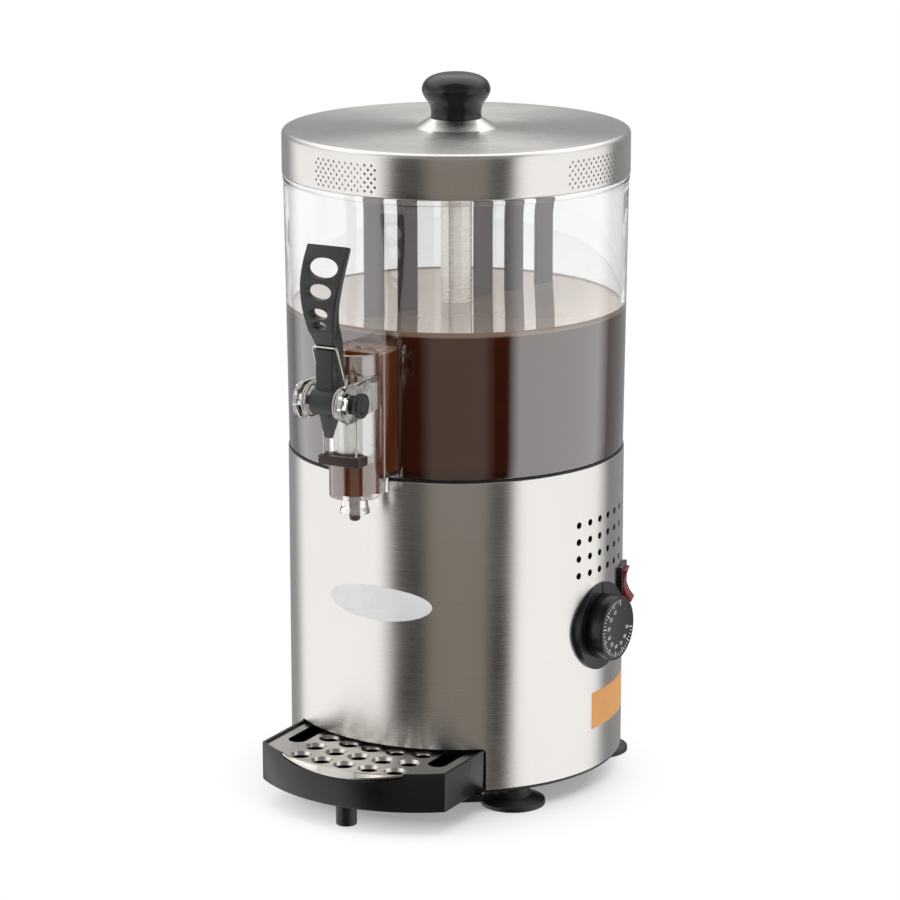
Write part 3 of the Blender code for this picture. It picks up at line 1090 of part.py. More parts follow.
def make_switch(axis, shell):
    """Rocker switch behind the thermostat."""
    place = empty("switch_place", axis, wall_frame(SWITCH_AZIMUTH, HOUSING_BOTTOM + SWITCH_HEIGHT))
    half_x, half_y = SWITCH_BODY[0] / 2, SWITCH_BODY[1] / 2
    cut_x, cut_y = half_x + GAP, half_y + GAP
    depth = HOUSING_WALL * 2 + OVERRUN
    carve(shell, block((-cut_x, -cut_y, -depth), (cut_x, cut_y, OVERRUN)), carrier=place)

    frame_x, frame_y = SWITCH_FRAME[0] / 2, SWITCH_FRAME[1] / 2
    sink = HOUSING_RADIUS - math.sqrt(HOUSING_RADIUS**2 - frame_x**2)
    frame = piece("switch_frame", block((-frame_x, -frame_y, -sink - OVERRUN), (frame_x, frame_y,
                                                                                SWITCH_FACE)),
                  BLACK_PLASTIC, place)
    wall = HOUSING_RADIUS + GAP
    low, high = HOUSING_BOTTOM, HOUSING_TOP
    carve(frame, turned([(0, low), (wall, low), (wall, high), (0, high)], LARGE_SIDES), carrier=axis)
    fuse(frame, block((-half_x, -half_y, -SWITCH_DEPTH), (half_x, half_y, SWITCH_FACE / 2)))
    well_x = ROCKER_WIDTH / 2 + GAP
    lean = (SWITCH_FACE + ROCKER_PIVOT_SETBACK) * math.sin(ROCKER_TILT)
    well_y = ROCKER_LENGTH / 2 * math.cos(ROCKER_TILT) + lean + GAP
    well_floor = -ROCKER_PIVOT_SETBACK - ROCKER_LENGTH / 4 - GAP
    carve(frame, block((-well_x, -well_y, well_floor), (well_x, well_y, SWITCH_FACE + OVERRUN)))

    tilt = Matrix.Translation((0, 0, -ROCKER_PIVOT_SETBACK)) @ Matrix.Rotation(-ROCKER_TILT, 4, "X")
    pivot = empty("rocker_axis", place, tilt)
    end = ROCKER_LENGTH / 2
    heel = ROCKER_LENGTH / 4
    dip = ROCKER_HEIGHT - ROCKER_DIP
    outline = [(-end, ROCKER_HEIGHT), (-end, 0), (-heel, -heel * 0.7), (heel, -heel * 0.7), (end, 0),
               (end, ROCKER_HEIGHT)]
    outline += [(end / 2, dip + ROCKER_DIP * 0.3), (0, dip), (-end / 2, dip + ROCKER_DIP * 0.3)]
    half = ROCKER_WIDTH / 2
    piece("switch_rocker", placed(prism(outline, -half, half), SIDEWAYS), RED_PLASTIC, pivot)


def tray_outline(inset, rear_radius):
    """Outline of the tray, drawn in by an inset: straight sides, bowed front, hollow rear."""
    half = TRAY_HALF_WIDTH - inset
    front = TRAY_FRONT_RADIUS - inset
    centre = TRAY_FRONT_RADIUS - TRAY_REACH
    corner = math.asin(half / front)
    outline = arc((0, centre), front, -math.pi / 2 - corner, -math.pi / 2 + corner, 16)
    rear_corner = math.asin(half / rear_radius)
    outline += arc((0, 0), rear_radius, -math.pi / 2 + rear_corner, -math.pi / 2 - rear_corner, 16)
    return outline


def lip_mesh(half, length, below, roof=None):
    """Crescent from the grid's front edge to the tray's face, lowest in the middle; its cutter has a roof."""
    top = GRID_BOTTOM + GRID_THICKNESS
    centre = TRAY_FRONT_RADIUS - TRAY_REACH
    inner = TRAY_FRONT_RADIUS - LIP_WIDTH
    outer = TRAY_FRONT_RADIUS + length
    rings = []
    for k in range(LIP_STEPS + 1):
        share = 2 * k / LIP_STEPS - 1
        x = half * share
        near = centre - math.sqrt(inner**2 - x**2)
        far = centre - math.sqrt(outer**2 - x**2)
        edge = TRAY_TOP - LIP_DEPTH * (1 - share**2)
        end = top + (edge - top) * (LIP_WIDTH + length) / LIP_WIDTH
        high_near, high_far = (top, end) if roof is None else (roof, roof)
        rings.append([(x, near, high_near), (x, far, high_far), (x, far, end - below),
                      (x, near, top - below)])
    return lofted(rings)


def make_tray(axis):
    """Drip tray that slides out of the housing, its leg and its stainless grid."""
    slide = empty("tray_slide", axis)
    tray = piece("drip_tray", prism(tray_outline(0, TRAY_REAR_RADIUS), TRAY_BOTTOM, TRAY_TOP),
                 BLACK_PLASTIC, slide)
    ledge = TRAY_TOP - TRAY_LEDGE_DROP
    carve(tray, prism(tray_outline(TRAY_RIM, TRAY_REAR_RADIUS + TRAY_RIM), ledge, TRAY_TOP + OVERRUN))
    deep = prism(tray_outline(TRAY_WALL, TRAY_REAR_RADIUS + TRAY_WALL), TRAY_BOTTOM + TRAY_FLOOR, TRAY_TOP)
    carve(tray, deep)
    carve(tray, lip_mesh(LIP_HALF_WIDTH + 2 * GAP, OVERRUN, GRID_THICKNESS + 3 * GAP, TRAY_TOP + OVERRUN))
    leg_top = TRAY_BOTTOM - GAP
    leg = [(0, 0), (TRAY_FOOT_RADIUS, 0), (TRAY_FOOT_RADIUS, leg_top), (0, leg_top)]
    leg_reach = TRAY_REACH - TRAY_FOOT_SETBACK
    stand = empty("tray_leg_place", slide, Matrix.Translation((0, -leg_reach, 0)))
    piece("tray_leg", turned(leg, SMALL_SIDES), BLACK_RUBBER, stand)

    top = GRID_BOTTOM + GRID_THICKNESS
    inset = TRAY_RIM + RUNNING_GAP
    sheet = prism(tray_outline(inset, TRAY_REAR_RADIUS + inset), GRID_BOTTOM, top)
    grid = piece("drip_grid", sheet, STAINLESS, slide)
    fuse(grid, lip_mesh(LIP_HALF_WIDTH, -GAP, GRID_THICKNESS))
    collar = [(0, top - DIMPLE_DEPTH), (DRAIN_RADIUS + GRID_THICKNESS / 2, top - DIMPLE_DEPTH)]
    collar += [(DIMPLE_RADIUS, GRID_BOTTOM + GRID_THICKNESS / 4), (0, GRID_BOTTOM + GRID_THICKNESS / 4)]
    drain = [(0, top - DIMPLE_DEPTH - OVERRUN), (DRAIN_RADIUS, top - DIMPLE_DEPTH - OVERRUN)]
    drain += [(DRAIN_RADIUS, top - DIMPLE_DEPTH), (DIMPLE_RADIUS, top), (DIMPLE_RADIUS, top + OVERRUN),
              (0, top + OVERRUN)]
    collars, drains = [], []
    front_row = TRAY_REACH - TRAY_WALL - GRID_MARGIN - DIMPLE_RADIUS
    for row in range(GRID_ROWS):
        row_radius = front_row - row * GRID_ROW_PITCH
        for column in range(GRID_COLUMNS):
            x = (column - (GRID_COLUMNS - 1) / 2) * GRID_COLUMN_PITCH
            spot = Matrix.Translation((x, -math.sqrt(row_radius**2 - x**2), 0))
            collars.append(placed(turned(collar, HOLE_SIDES), spot))
            drains.append(placed(turned(drain, HOLE_SIDES), spot))
    fuse(grid, joined(collars))
    carve(grid, joined(drains))
    nose = FINGER_SLOT_WIDTH / 2
    slot_front = TRAY_REACH - FINGER_SLOT_SETBACK
    for side in (-1, 1):
        x = side * (FINGER_SLOT_INNER + nose)
        slot = arc((x, nose - slot_front), nose, math.pi, math.tau, HOLE_SIDES)
        slot += [(x + nose, -TRAY_REAR_RADIUS + TRAY_HALF_WIDTH / 2),
                 (x - nose, -TRAY_REAR_RADIUS + TRAY_HALF_WIDTH / 2)]
        carve(grid, prism(slot, GRID_BOTTOM - OVERRUN, top + OVERRUN))


def make_mains(axis, shell):
    """Cable gland in the housing's back with its nut, and the terminal block on the base plate."""
    place = empty("gland_place", axis, wall_frame(math.pi, HOUSING_BOTTOM + GLAND_HEIGHT))
    pierce(shell, place, GLAND_RADIUS + GAP)
    flange = GAP + GLAND_RADIUS / 4
    thread_end = -GLAND_NOSE
    nose = [(GLAND_BORE, thread_end), (GLAND_RADIUS, thread_end), (GLAND_RADIUS, GAP),
            (GLAND_FLANGE_RADIUS, GAP)]
    nose += [(GLAND_FLANGE_RADIUS, GAP + flange), (GLAND_RADIUS, GAP + flange),
             (GLAND_RADIUS * 0.8, GLAND_NOSE)]
    nose += [(GLAND_BORE, GLAND_NOSE)]
    piece("cable_gland", turned(nose, SMALL_SIDES), BLACK_PLASTIC, place)
    outer, inner = GLAND_FLANGE_RADIUS, GLAND_RADIUS + GAP
    near = -HOUSING_WALL - HOUSING_WALL
    far = near - GLAND_RADIUS / 2
    nut = [(inner, far), (outer, far), (outer, near), (inner, near)]
    piece("gland_nut", turned(nut, SMALL_SIDES), BLACK_PLASTIC, place)

    width, depth, height = TERMINAL_SIZE
    floor = BASE_PLATE_TOP + GAP
    x, y = TERMINAL_PLACE
    low = (x - width / 2, y - depth / 2, floor)
    terminals = piece("terminal_block", block(low, (x + width / 2, y + depth / 2, floor + height)),
                      WHITE_NYLON, axis)
    way = width / TERMINAL_WAYS
    for k in range(TERMINAL_WAYS):
        left = low[0] + way * (k + 0.18)
        right = low[0] + way * (k + 0.82)
        for y_near, y_far in ((low[1] - OVERRUN, y - depth / 6), (y + depth / 6, y + depth / 2 + OVERRUN)):
            carve(terminals, block((left, y_near, floor + height / 2), (right, y_far,
                                                                        floor + height + OVERRUN)))


def centre_footprint(axis):
    """Set the middle of the machine's footprint on the origin."""
    bpy.context.view_layer.update()
    depsgraph = bpy.context.evaluated_depsgraph_get()
    low, high = Vector((math.inf, math.inf)), Vector((-math.inf, -math.inf))
    for part in bpy.data.objects:
        if part.type == "EMPTY":
            continue
        seen = part.evaluated_get(depsgraph)
        mesh = seen.to_mesh()
        for vertex in mesh.vertices:
            point = seen.matrix_world @ vertex.co
            low = Vector((min(low.x, point.x), min(low.y, point.y)))
            high = Vector((max(high.x, point.x), max(high.y, point.y)))
        seen.to_mesh_clear()
    axis.location.x -= (low.x + high.x) / 2
    axis.location.y -= (low.y + high.y) / 2
    print("machine axis stands at, mm:", round(axis.location.x * 1000, 3), round(axis.location.y * 1000, 3))


def build():
    clear_scene()
    axis = empty("machine_axis")
    shell = make_housing(axis)
    make_base(axis)
    make_pan(axis)
    make_column(axis)
    make_element(axis)
    shaft_bottom = make_drive(axis)
    make_paddle(axis, shaft_bottom)
    make_tank(axis)
    make_axle(axis)
    make_lever(axis)
    make_spring(axis)
    make_plunger(axis)
    make_lid(axis)
    make_thermostat(axis, shell)
    make_switch(axis, shell)
    make_tray(axis)
    make_mains(axis, shell)
    centre_footprint(axis)


build()
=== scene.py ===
"""Hot chocolate dispenser: steel housing, clear tank with its tap, stirring paddle, lid and drip tray."""
import math

import bmesh
import bpy
import numpy as np
from mathutils import Matrix, Vector


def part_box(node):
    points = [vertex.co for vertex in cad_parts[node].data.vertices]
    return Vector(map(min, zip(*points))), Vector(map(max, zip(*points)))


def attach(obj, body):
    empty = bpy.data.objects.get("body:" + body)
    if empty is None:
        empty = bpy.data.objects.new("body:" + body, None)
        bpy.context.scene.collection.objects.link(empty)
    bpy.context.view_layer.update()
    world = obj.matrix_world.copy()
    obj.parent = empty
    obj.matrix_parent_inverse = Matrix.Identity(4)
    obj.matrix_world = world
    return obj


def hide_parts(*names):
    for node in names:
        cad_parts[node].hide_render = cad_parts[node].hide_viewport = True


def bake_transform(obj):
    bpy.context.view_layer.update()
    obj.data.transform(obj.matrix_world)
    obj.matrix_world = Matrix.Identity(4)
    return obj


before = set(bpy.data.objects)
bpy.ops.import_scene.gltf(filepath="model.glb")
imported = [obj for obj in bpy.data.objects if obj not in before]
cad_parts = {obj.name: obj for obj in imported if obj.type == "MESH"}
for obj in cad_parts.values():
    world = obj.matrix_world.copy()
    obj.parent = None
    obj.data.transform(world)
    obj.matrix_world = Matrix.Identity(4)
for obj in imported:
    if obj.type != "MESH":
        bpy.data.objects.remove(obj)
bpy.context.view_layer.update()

# Studio: a pale floor under a white sky, with a tall soft panel on each side and one overhead at the rear.
# Polished steel shows them as upright bands with a dark gap on both sides of the camera, which stands where a
# long lens saw the machine.
CAMERA_AZIMUTH, CAMERA_PITCH, CAMERA_ROLL = 0.49729, 0.24518, 0.0007
CAMERA_DISTANCE, CAMERA_SIDE, CAMERA_HEIGHT = 2.292107, -0.004106, 0.7863
LENS_MM, SENSOR_MM = 143.778, 36.0
SOFT_PANEL, GREY_WALL, WALL_CORNER, REAR_SCREEN = 1.12, 0.31, 0.22, 0.34
FRONT_SCREEN, SCREEN_EDGE, SCREEN_END = 0.35, 0.30, SOFT_PANEL * 0.6
CAMERA_SIDE_GLOW, DARK_GAP = (0.215, 0.19, 0.155), (0.022, 0.016, 0.011)
OVERHEAD_GLOW, FRONT_CEILING = 1.5, 0.22
SKY_INSIDE = (1.42, 1.33, 1.24)
PEAK, SOFT_SHARE = 1.5, 0.9
LAMP_WATTS, LAMP_SIZE = 20.0, 1.6
FLOOR_HALF = 4.0

shell_low, shell_high = (np.array(corner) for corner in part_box("housing_shell"))
AXIS = np.append((shell_low[:2] + shell_high[:2]) / 2, 0.0)
UP = np.array((0.0, 0.0, 1.0))

to_camera = np.array((math.sin(CAMERA_AZIMUTH), -math.cos(CAMERA_AZIMUTH), 0.0))
sideways = np.array((math.cos(CAMERA_AZIMUTH), math.sin(CAMERA_AZIMUTH), 0.0))
look = -to_camera * math.cos(CAMERA_PITCH) - UP * math.sin(CAMERA_PITCH)
camera = bpy.data.objects.new("camera", bpy.data.cameras.new("camera"))
bpy.context.collection.objects.link(camera)
level_view = Matrix((sideways, np.cross(sideways, look), -look)).transposed()
aim = Matrix.Rotation(CAMERA_ROLL, 3, Vector(look)) @ level_view
spot = AXIS + to_camera * CAMERA_DISTANCE + sideways * CAMERA_SIDE + UP * CAMERA_HEIGHT
camera.matrix_world = Matrix.Translation(Vector(spot)) @ aim.to_4x4()
camera.data.lens = LENS_MM
camera.data.sensor_width = SENSOR_MM
camera.data.clip_start = 0.05
bpy.context.scene.camera = camera
bpy.context.scene.view_settings.view_transform = "Standard"


def feed(tree, node, **links):
    """Give a node's inputs their values, or link them: a name is a socket's name, and _N is its number."""
    for name, value in links.items():
        socket = node.inputs[int(name[1:]) if name[1:].isdigit() else name.replace("_", " ")]
        if isinstance(value, bpy.types.NodeSocket):
            tree.links.new(value, socket)
        else:
            socket.default_value = value
    return node


def wire(tree, kind, values=None, **links):
    """Node of a kind in a node tree, with its settings and its inputs; returns its outputs."""
    node = tree.nodes.new(kind)
    for name, value in (values or {}).items():
        setattr(node, name, value)
    return feed(tree, node, **links).outputs


def sum_up(tree, operation, first, second=0.0, third=0.0):
    """Result of one Math node."""
    return wire(tree, "ShaderNodeMath", {"operation": operation}, _0=first, _1=second, _2=third)[0]


def vectors(tree, operation, first, second=(0, 0, 0)):
    """Result of one Vector Math node: a value for a dot product or a length, otherwise a vector."""
    made = wire(tree, "ShaderNodeVectorMath", {"operation": operation}, _0=first, _1=second)
    return made["Value" if operation in ("DOT_PRODUCT", "LENGTH") else "Vector"]


def between(tree, value, low, high, start=0.0, end=1.0):
    """Value carried from the range low to high into start to end, and held at both ends."""
    return wire(tree, "ShaderNodeMapRange", _0=value, _1=low, _2=high, _3=start, _4=end)[0]


def blend(tree, share, first, second, way="MIX"):
    """Two colours mixed by a share."""
    settings = {"data_type": "RGBA", "blend_type": way}
    return wire(tree, "ShaderNodeMix", settings, _0=share, _6=first, _7=second)[2]


def either(tree, share, first, second):
    """Two shaders mixed by a share."""
    return wire(tree, "ShaderNodeMixShader", _0=share, _1=first, _2=second)[0]


def ramp(tree, value, stops):
    """Colour ramp over a value, from (place, grey or colour) stops in rising order."""
    node = tree.nodes.new("ShaderNodeValToRGB")
    for place, _ in stops[2:]:
        node.color_ramp.elements.new(place)
    for stop, (place, tone) in zip(node.color_ramp.elements, stops):
        stop.position = place
        stop.color = (*np.full(3, tone), 1.0)
    return feed(tree, node, _0=value).outputs["Color"]


# Places run round the studio: 0 and 1 behind the machine, 0.25 on the camera's left, 0.5 at the camera.
PANEL_STOPS = [(0.0, GREY_WALL), (0.10, GREY_WALL), (0.145, SOFT_PANEL), (0.35, SOFT_PANEL),
               (0.385, DARK_GAP), (0.43, DARK_GAP), (0.455, CAMERA_SIDE_GLOW), (0.55, CAMERA_SIDE_GLOW),
               (0.574, DARK_GAP), (0.597, DARK_GAP), (0.62, SOFT_PANEL), (0.81, SOFT_PANEL),
               (0.85, WALL_CORNER), (0.92, GREY_WALL), (1.0, GREY_WALL)]
SCREEN_STOPS = [(0.0, REAR_SCREEN), (0.14, REAR_SCREEN), (0.20, SCREEN_END), (0.365, SOFT_PANEL),
                (0.40, SCREEN_EDGE), (0.5, FRONT_SCREEN), (0.60, SCREEN_EDGE), (0.635, SOFT_PANEL),
                (0.80, SCREEN_END), (0.86, REAR_SCREEN), (1.0, REAR_SCREEN)]
CEILING_STOPS = [(0.0, OVERHEAD_GLOW), (0.25, OVERHEAD_GLOW), (0.36, FRONT_CEILING), (0.64, FRONT_CEILING),
                 (0.75, OVERHEAD_GLOW), (1.0, OVERHEAD_GLOW)]
SCREEN_RISE, CEILING_RISE = (-0.10, 0.16), (0.27, 0.62)

world = bpy.data.worlds.new("studio")
bpy.context.scene.world = world
world.use_nodes = True
tree = world.node_tree
tree.nodes.clear()
ray = wire(tree, "ShaderNodeLightPath")
heading = wire(tree, "ShaderNodeTexCoord")["Generated"]
facing = vectors(tree, "DOT_PRODUCT", heading, tuple(to_camera))
aside = vectors(tree, "DOT_PRODUCT", heading, tuple(sideways))
swing = sum_up(tree, "MULTIPLY_ADD", sum_up(tree, "ARCTAN2", aside, facing), 1 / math.tau, 0.5)
rise = wire(tree, "ShaderNodeSeparateXYZ", _0=heading)["Z"]
panels, screens, ceiling = (ramp(tree, swing, [(place, np.full(3, tone) / PEAK) for place, tone in stops])
                            for stops in (PANEL_STOPS, SCREEN_STOPS, CEILING_STOPS))
lift = between(tree, rise, *SCREEN_RISE)
walls = blend(tree, between(tree, rise, *CEILING_RISE), blend(tree, lift, panels, screens), ceiling)
seen_inside = blend(tree, lift, panels, (*(tone / PEAK for tone in SKY_INSIDE), 1))
mirrored, soft, inside, white = (
    wire(tree, "ShaderNodeBackground", Color=colour, Strength=strength)[0]
    for colour, strength in ((walls, PEAK), (walls, PEAK * SOFT_SHARE), (seen_inside, PEAK),
                             ((1, 1, 1, 1), 1.0)))
sky = either(tree, ray["Is Glossy Ray"], soft, mirrored)
bounced = sum_up(tree, "GREATER_THAN", ray["Glossy Depth"], 0.5)
sky = either(tree, ray["Is Transmission Ray"], sky, either(tree, bounced, white, inside))
wire(tree, "ShaderNodeOutputWorld", Surface=either(tree, ray["Is Camera Ray"], sky, white))

lamp = bpy.data.objects.new("overhead_panel", bpy.data.lights.new("overhead_panel", "AREA"))
bpy.context.collection.objects.link(lamp)
lamp.data.shape = "DISK"
lamp.data.size = LAMP_SIZE
lamp.data.energy = LAMP_WATTS
lamp.visible_glossy = False
lamp.location = Vector(AXIS + (0.3, -0.2, 1.9))
lamp.rotation_euler = (Vector(AXIS + UP * 0.2) - lamp.location).to_track_quat("-Z", "Y").to_euler()


def new_material(name):
    """Material with its node tree, its shader and the Object coordinates in it."""
    material = bpy.data.materials.new(name)
    material.use_nodes = True
    tree = material.node_tree
    return material, tree, tree.nodes["Principled BSDF"], wire(tree, "ShaderNodeTexCoord")["Object"]


SHADOW_REACH, SHADOW_SHARE, FLOOR_THROUGH = (0.095, 0.15), 0.3, 0.8
floor_mesh = bpy.data.meshes.new("floor")
floor_mesh.from_pydata([(x * FLOOR_HALF, y * FLOOR_HALF, 0) for x, y in ((-1, -1), (1, -1), (1, 1), (-1, 1))],
                       [], [(0, 1, 2, 3)])
floor = bpy.data.objects.new("floor", floor_mesh)
bpy.context.collection.objects.link(floor)
floor.visible_glossy = False
floor_paper, tree, shader, place = new_material("floor_paper")
ray = wire(tree, "ShaderNodeLightPath")
paper = wire(tree, "ShaderNodeBsdfDiffuse", Color=(0.92, 0.92, 0.92, 1))[0]
glow = wire(tree, "ShaderNodeEmission", Color=(1, 1, 1, 1), Strength=1.0)[0]
fade = between(tree, vectors(tree, "LENGTH", place), *SHADOW_REACH, SHADOW_SHARE, 1.0)
share = sum_up(tree, "MAXIMUM", sum_up(tree, "MULTIPLY", ray["Is Camera Ray"], fade),
               sum_up(tree, "MULTIPLY", ray["Is Transmission Ray"], FLOOR_THROUGH))
feed(tree, tree.nodes["Material Output"], Surface=either(tree, share, paper, glow))
floor_mesh.materials.append(floor_paper)

# Housing: one rolled sheet of stainless steel, brushed round the machine, with punched vents on its right.
# Its front is cut away at the foot for the drip tray, and its sides carry the thermostat and the switch.
HOUSING_RADIUS, HOUSING_WALL, HOUSING_BOTTOM, HOUSING_TOP = 0.110, 0.001, 0.015, 0.2184
FLANGE_TOP, FLANGE_DEEP = 0.0169, 0.008
TRAY_CUT_HALF, TRAY_CUT_TOP, TRAY_CUT_CORNER, TRAY_CUT_REAR = 0.0682, 0.0427, 0.003, 0.0716
VENT_RADIUS, VENT_PITCH, VENT_MIDDLE, VENT_AZIMUTH = 0.00225, 0.0112, 0.1654, math.radians(88.5)
DIAL_AZIMUTH, DIAL_HEIGHT, DIAL_BORE = math.radians(86.5), 0.1102, 0.0053
SWITCH_AZIMUTH, SWITCH_HEIGHT, SWITCH_HOLE = math.radians(108), 0.126, (0.0093, 0.0133)
GLAND_HEIGHT, GLAND_HOLE = 0.037, 0.0068
PUNCH = (-0.003, 0.002)
ROUND, FINE_ROUND = 192, 256
STAINLESS = (0.80, 0.775, 0.745)


def solid(name, points, faces):
    """Object of points round the machine's axis, with doubles merged and faces turned outwards."""
    mesh = bpy.data.meshes.new(name)
    mesh.from_pydata((np.asarray(points) + AXIS).tolist(), [], faces)
    form = bmesh.new()
    form.from_mesh(mesh)
    bmesh.ops.remove_doubles(form, verts=form.verts, dist=1e-6)
    bmesh.ops.recalc_face_normals(form, faces=form.faces)
    form.to_mesh(mesh)
    form.free()
    made = bpy.data.objects.new(name, mesh)
    bpy.context.collection.objects.link(made)
    return made


def four_sided(index):
    """Faces between the neighbours of a grid of point numbers [u, v], whose rows close on themselves."""
    index = np.hstack((index, index[:, :1]))
    corners = (index[:-1, :-1], index[1:, :-1], index[1:, 1:], index[:-1, 1:])
    return np.stack(corners, axis=-1).reshape(-1, 4).tolist()


def surface(name, points, wrap=False):
    """Object over closed rings of points [u, v]; the last ring joins the first one where they wrap."""
    index = np.arange(points.shape[0] * points.shape[1]).reshape(points.shape[:2])
    return solid(name, points.reshape(-1, 3), four_sided(np.vstack((index, index[:1])) if wrap else index))


def rounded(corners, steps=4):
    """Closed outline from (a, b, fillet) corners: each corner is a curve whose tangents are its two sides."""
    corners = [tuple(c) + (0.0,) * (3 - len(c)) for c in corners]
    points = np.array([c[:2] for c in corners], float)
    fillets = np.array([c[2] for c in corners])
    before, after = np.roll(points, 1, 0) - points, np.roll(points, -1, 0) - points
    reach_in = np.linalg.norm(before, axis=1)
    reach_out = np.linalg.norm(after, axis=1)
    u, v = before / reach_in[:, None], after / reach_out[:, None]
    half = np.arccos(np.clip((u * v).sum(1), -1, 0.9999)) / 2
    drawn_in = np.minimum(fillets / np.tan(half), 0.49 * np.minimum(reach_in, reach_out))
    s = np.linspace(0, 1, steps + 1)[:, None]
    outline = []
    for point, a, b, t in zip(points, u, v, drawn_in):
        start, end = point + a * t, point + b * t
        curve = (1 - s) ** 2 * start + 2 * s * (1 - s) * point + s**2 * end
        outline.append(point[None] if t < 1e-7 else curve)
    return np.vstack(outline)


UPRIGHT = (np.zeros(3), np.eye(3))


def over(x, y):
    """Upright place over a point of the floor, counted from the machine's axis."""
    return np.array((x, y, 0.0)), np.eye(3)


def turned(name, profile, place=UPRIGHT, sides=ROUND):
    """Closed profile of (radius, height) points carried round a place's third axis: (r cos a, r sin a, h)."""
    origin, axes = place
    angle = np.linspace(0, math.tau, sides, endpoint=False)
    profile = np.asarray(profile, float)
    radius, height = profile[:, :1], np.repeat(profile[:, 1:2], sides, 1)
    local = np.stack((radius * np.cos(angle), radius * np.sin(angle), height), axis=-1)
    return surface(name, np.asarray(origin) + local @ np.asarray(axes), True)


def bar(radius, low, high, place=UPRIGHT, sides=ROUND):
    """Plain round bar to cut with or to join, from low to high along a place's third axis."""
    return turned("bar", [(0, low), (radius, low), (radius, high), (0, high)], place, sides)


def stacked(name, layers, place=UPRIGHT):
    """Closed outlines [layer, point] along a place's third axis, walled between and capped at the ends."""
    origin, axes = place
    index = np.arange(layers.shape[0] * layers.shape[1]).reshape(layers.shape[:2])
    caps = [index[0][::-1].tolist(), index[-1].tolist()]
    placed = np.asarray(origin) + layers.reshape(-1, 3) @ np.asarray(axes)
    return solid(name, placed, four_sided(index) + caps)


def extruded(name, outline, low, high, place=UPRIGHT):
    """Outline of (a, b) points carried straight along a place's third axis from low to high."""
    outline = np.asarray(outline, float)
    layers = [np.column_stack((outline, np.full(len(outline), height))) for height in (low, high)]
    return stacked(name, np.array(layers), place)


def box(name, low, high, place=UPRIGHT):
    """Block between two corners, as a carried rectangle."""
    outline = [(low[0], low[1]), (high[0], low[1]), (high[0], high[1]), (low[0], high[1])]
    return extruded(name, outline, low[2], high[2], place)


def settle(made):
    """Apply an object's modifiers to its mesh."""
    shown = made.evaluated_get(bpy.context.evaluated_depsgraph_get())
    old, made.data = made.data, bpy.data.meshes.new_from_object(shown)
    made.modifiers.clear()
    bpy.data.meshes.remove(old)
    return made


def combine(made, operation, tools):
    """Join tools' solids to an object, or take them away, one after another, and drop the tools."""
    for tool in tools:
        step = made.modifiers.new("combine", "BOOLEAN")
        step.object, step.operation, step.solver = tool, operation, "EXACT"
        settle(made)
        bpy.data.objects.remove(tool, do_unlink=True)
    return made


def cut(made, *tools):
    """Take tools away from an object."""
    return combine(made, "DIFFERENCE", tools)


def fuse(made, *parts):
    """Join parts to an object."""
    return combine(made, "UNION", parts)


def together(name, parts):
    """One mesh of several separate solids, so that one cut makes many holes."""
    form = bmesh.new()
    for part in parts:
        form.from_mesh(part.data)
        bpy.data.objects.remove(part, do_unlink=True)
    mesh = bpy.data.meshes.new(name)
    form.to_mesh(mesh)
    form.free()
    made = bpy.data.objects.new(name, mesh)
    bpy.context.collection.objects.link(made)
    return made


def soften(made, width, segments=3, angle=35):
    """Round an object's sharp edges."""
    step = made.modifiers.new("edges", "BEVEL")
    step.width, step.segments, step.limit_method = width, segments, "ANGLE"
    step.angle_limit = math.radians(angle)
    return settle(made)


def on_wall(azimuth, height, radius=HOUSING_RADIUS):
    """Place on the housing's face: along it, up, and out of it. Azimuth runs from the tap to the right."""
    outward = np.array((math.sin(azimuth), -math.cos(azimuth), 0.0))
    along = np.array((math.cos(azimuth), math.sin(azimuth), 0.0))
    return outward * radius + UP * height, np.array((along, UP, outward))


def dress(made, body, slot, material, *nodes, smooth=30):
    """Give a finished piece its material, its body and the nodes that it stands for; its slot is not used."""
    made.data.materials.clear()
    made.data.materials.append(material)
    made.data.shade_smooth()
    made.data.set_sharp_from_angle(angle=math.radians(smooth))
    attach(made, body)
    if nodes:
        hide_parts(*nodes)
    return made


def new_group(name, **inputs):
    """Shader node group that gives a tone, a roughness and a normal, from inputs with their plain values."""
    group = bpy.data.node_groups.new(name, "ShaderNodeTree")
    for label, value in inputs.items():
        kind = "NodeSocketVector" if isinstance(value, tuple) else "NodeSocketFloat"
        group.interface.new_socket(label, in_out="INPUT", socket_type=kind).default_value = value
    for label, kind in (("Tone", "Float"), ("Roughness", "Float"), ("Normal", "Vector")):
        group.interface.new_socket(label, in_out="OUTPUT", socket_type=f"NodeSocket{kind}")
    return group, group.nodes.new("NodeGroupInput").outputs, group.nodes.new("NodeGroupOutput")


def noise(tree, place, scale, detail, **more):
    """Cloudy value over a place."""
    return wire(tree, "ShaderNodeTexNoise", _0=place, Scale=scale, Detail=detail, **more)[0]


def brushed_lines():
    """Fine scratches: noise drawn out along one direction, with a broad cloud of handling marks."""
    group, given, result = new_group("brushed_lines", Along=(0.0, 0.0, 0.0), Marks=(0.0, 0.0, 0.0), Depth=0.1)
    fine = noise(group, given["Along"], 1.0, 4.0, Roughness=0.7)
    worn = between(group, noise(group, given["Marks"], 14.0, 3.0), 0.35, 0.7, -0.015, 0.03)
    bump = wire(group, "ShaderNodeBump", Strength=given["Depth"], Distance=0.0002, Height=fine)[0]
    feed(group, result, Tone=between(group, fine, 0.25, 0.75, 0.965, 1.03), Normal=bump,
         Roughness=sum_up(group, "ADD", between(group, fine, 0.25, 0.75, 0.20, 0.30), worn))
    return group


BRUSHED_LINES = brushed_lines()


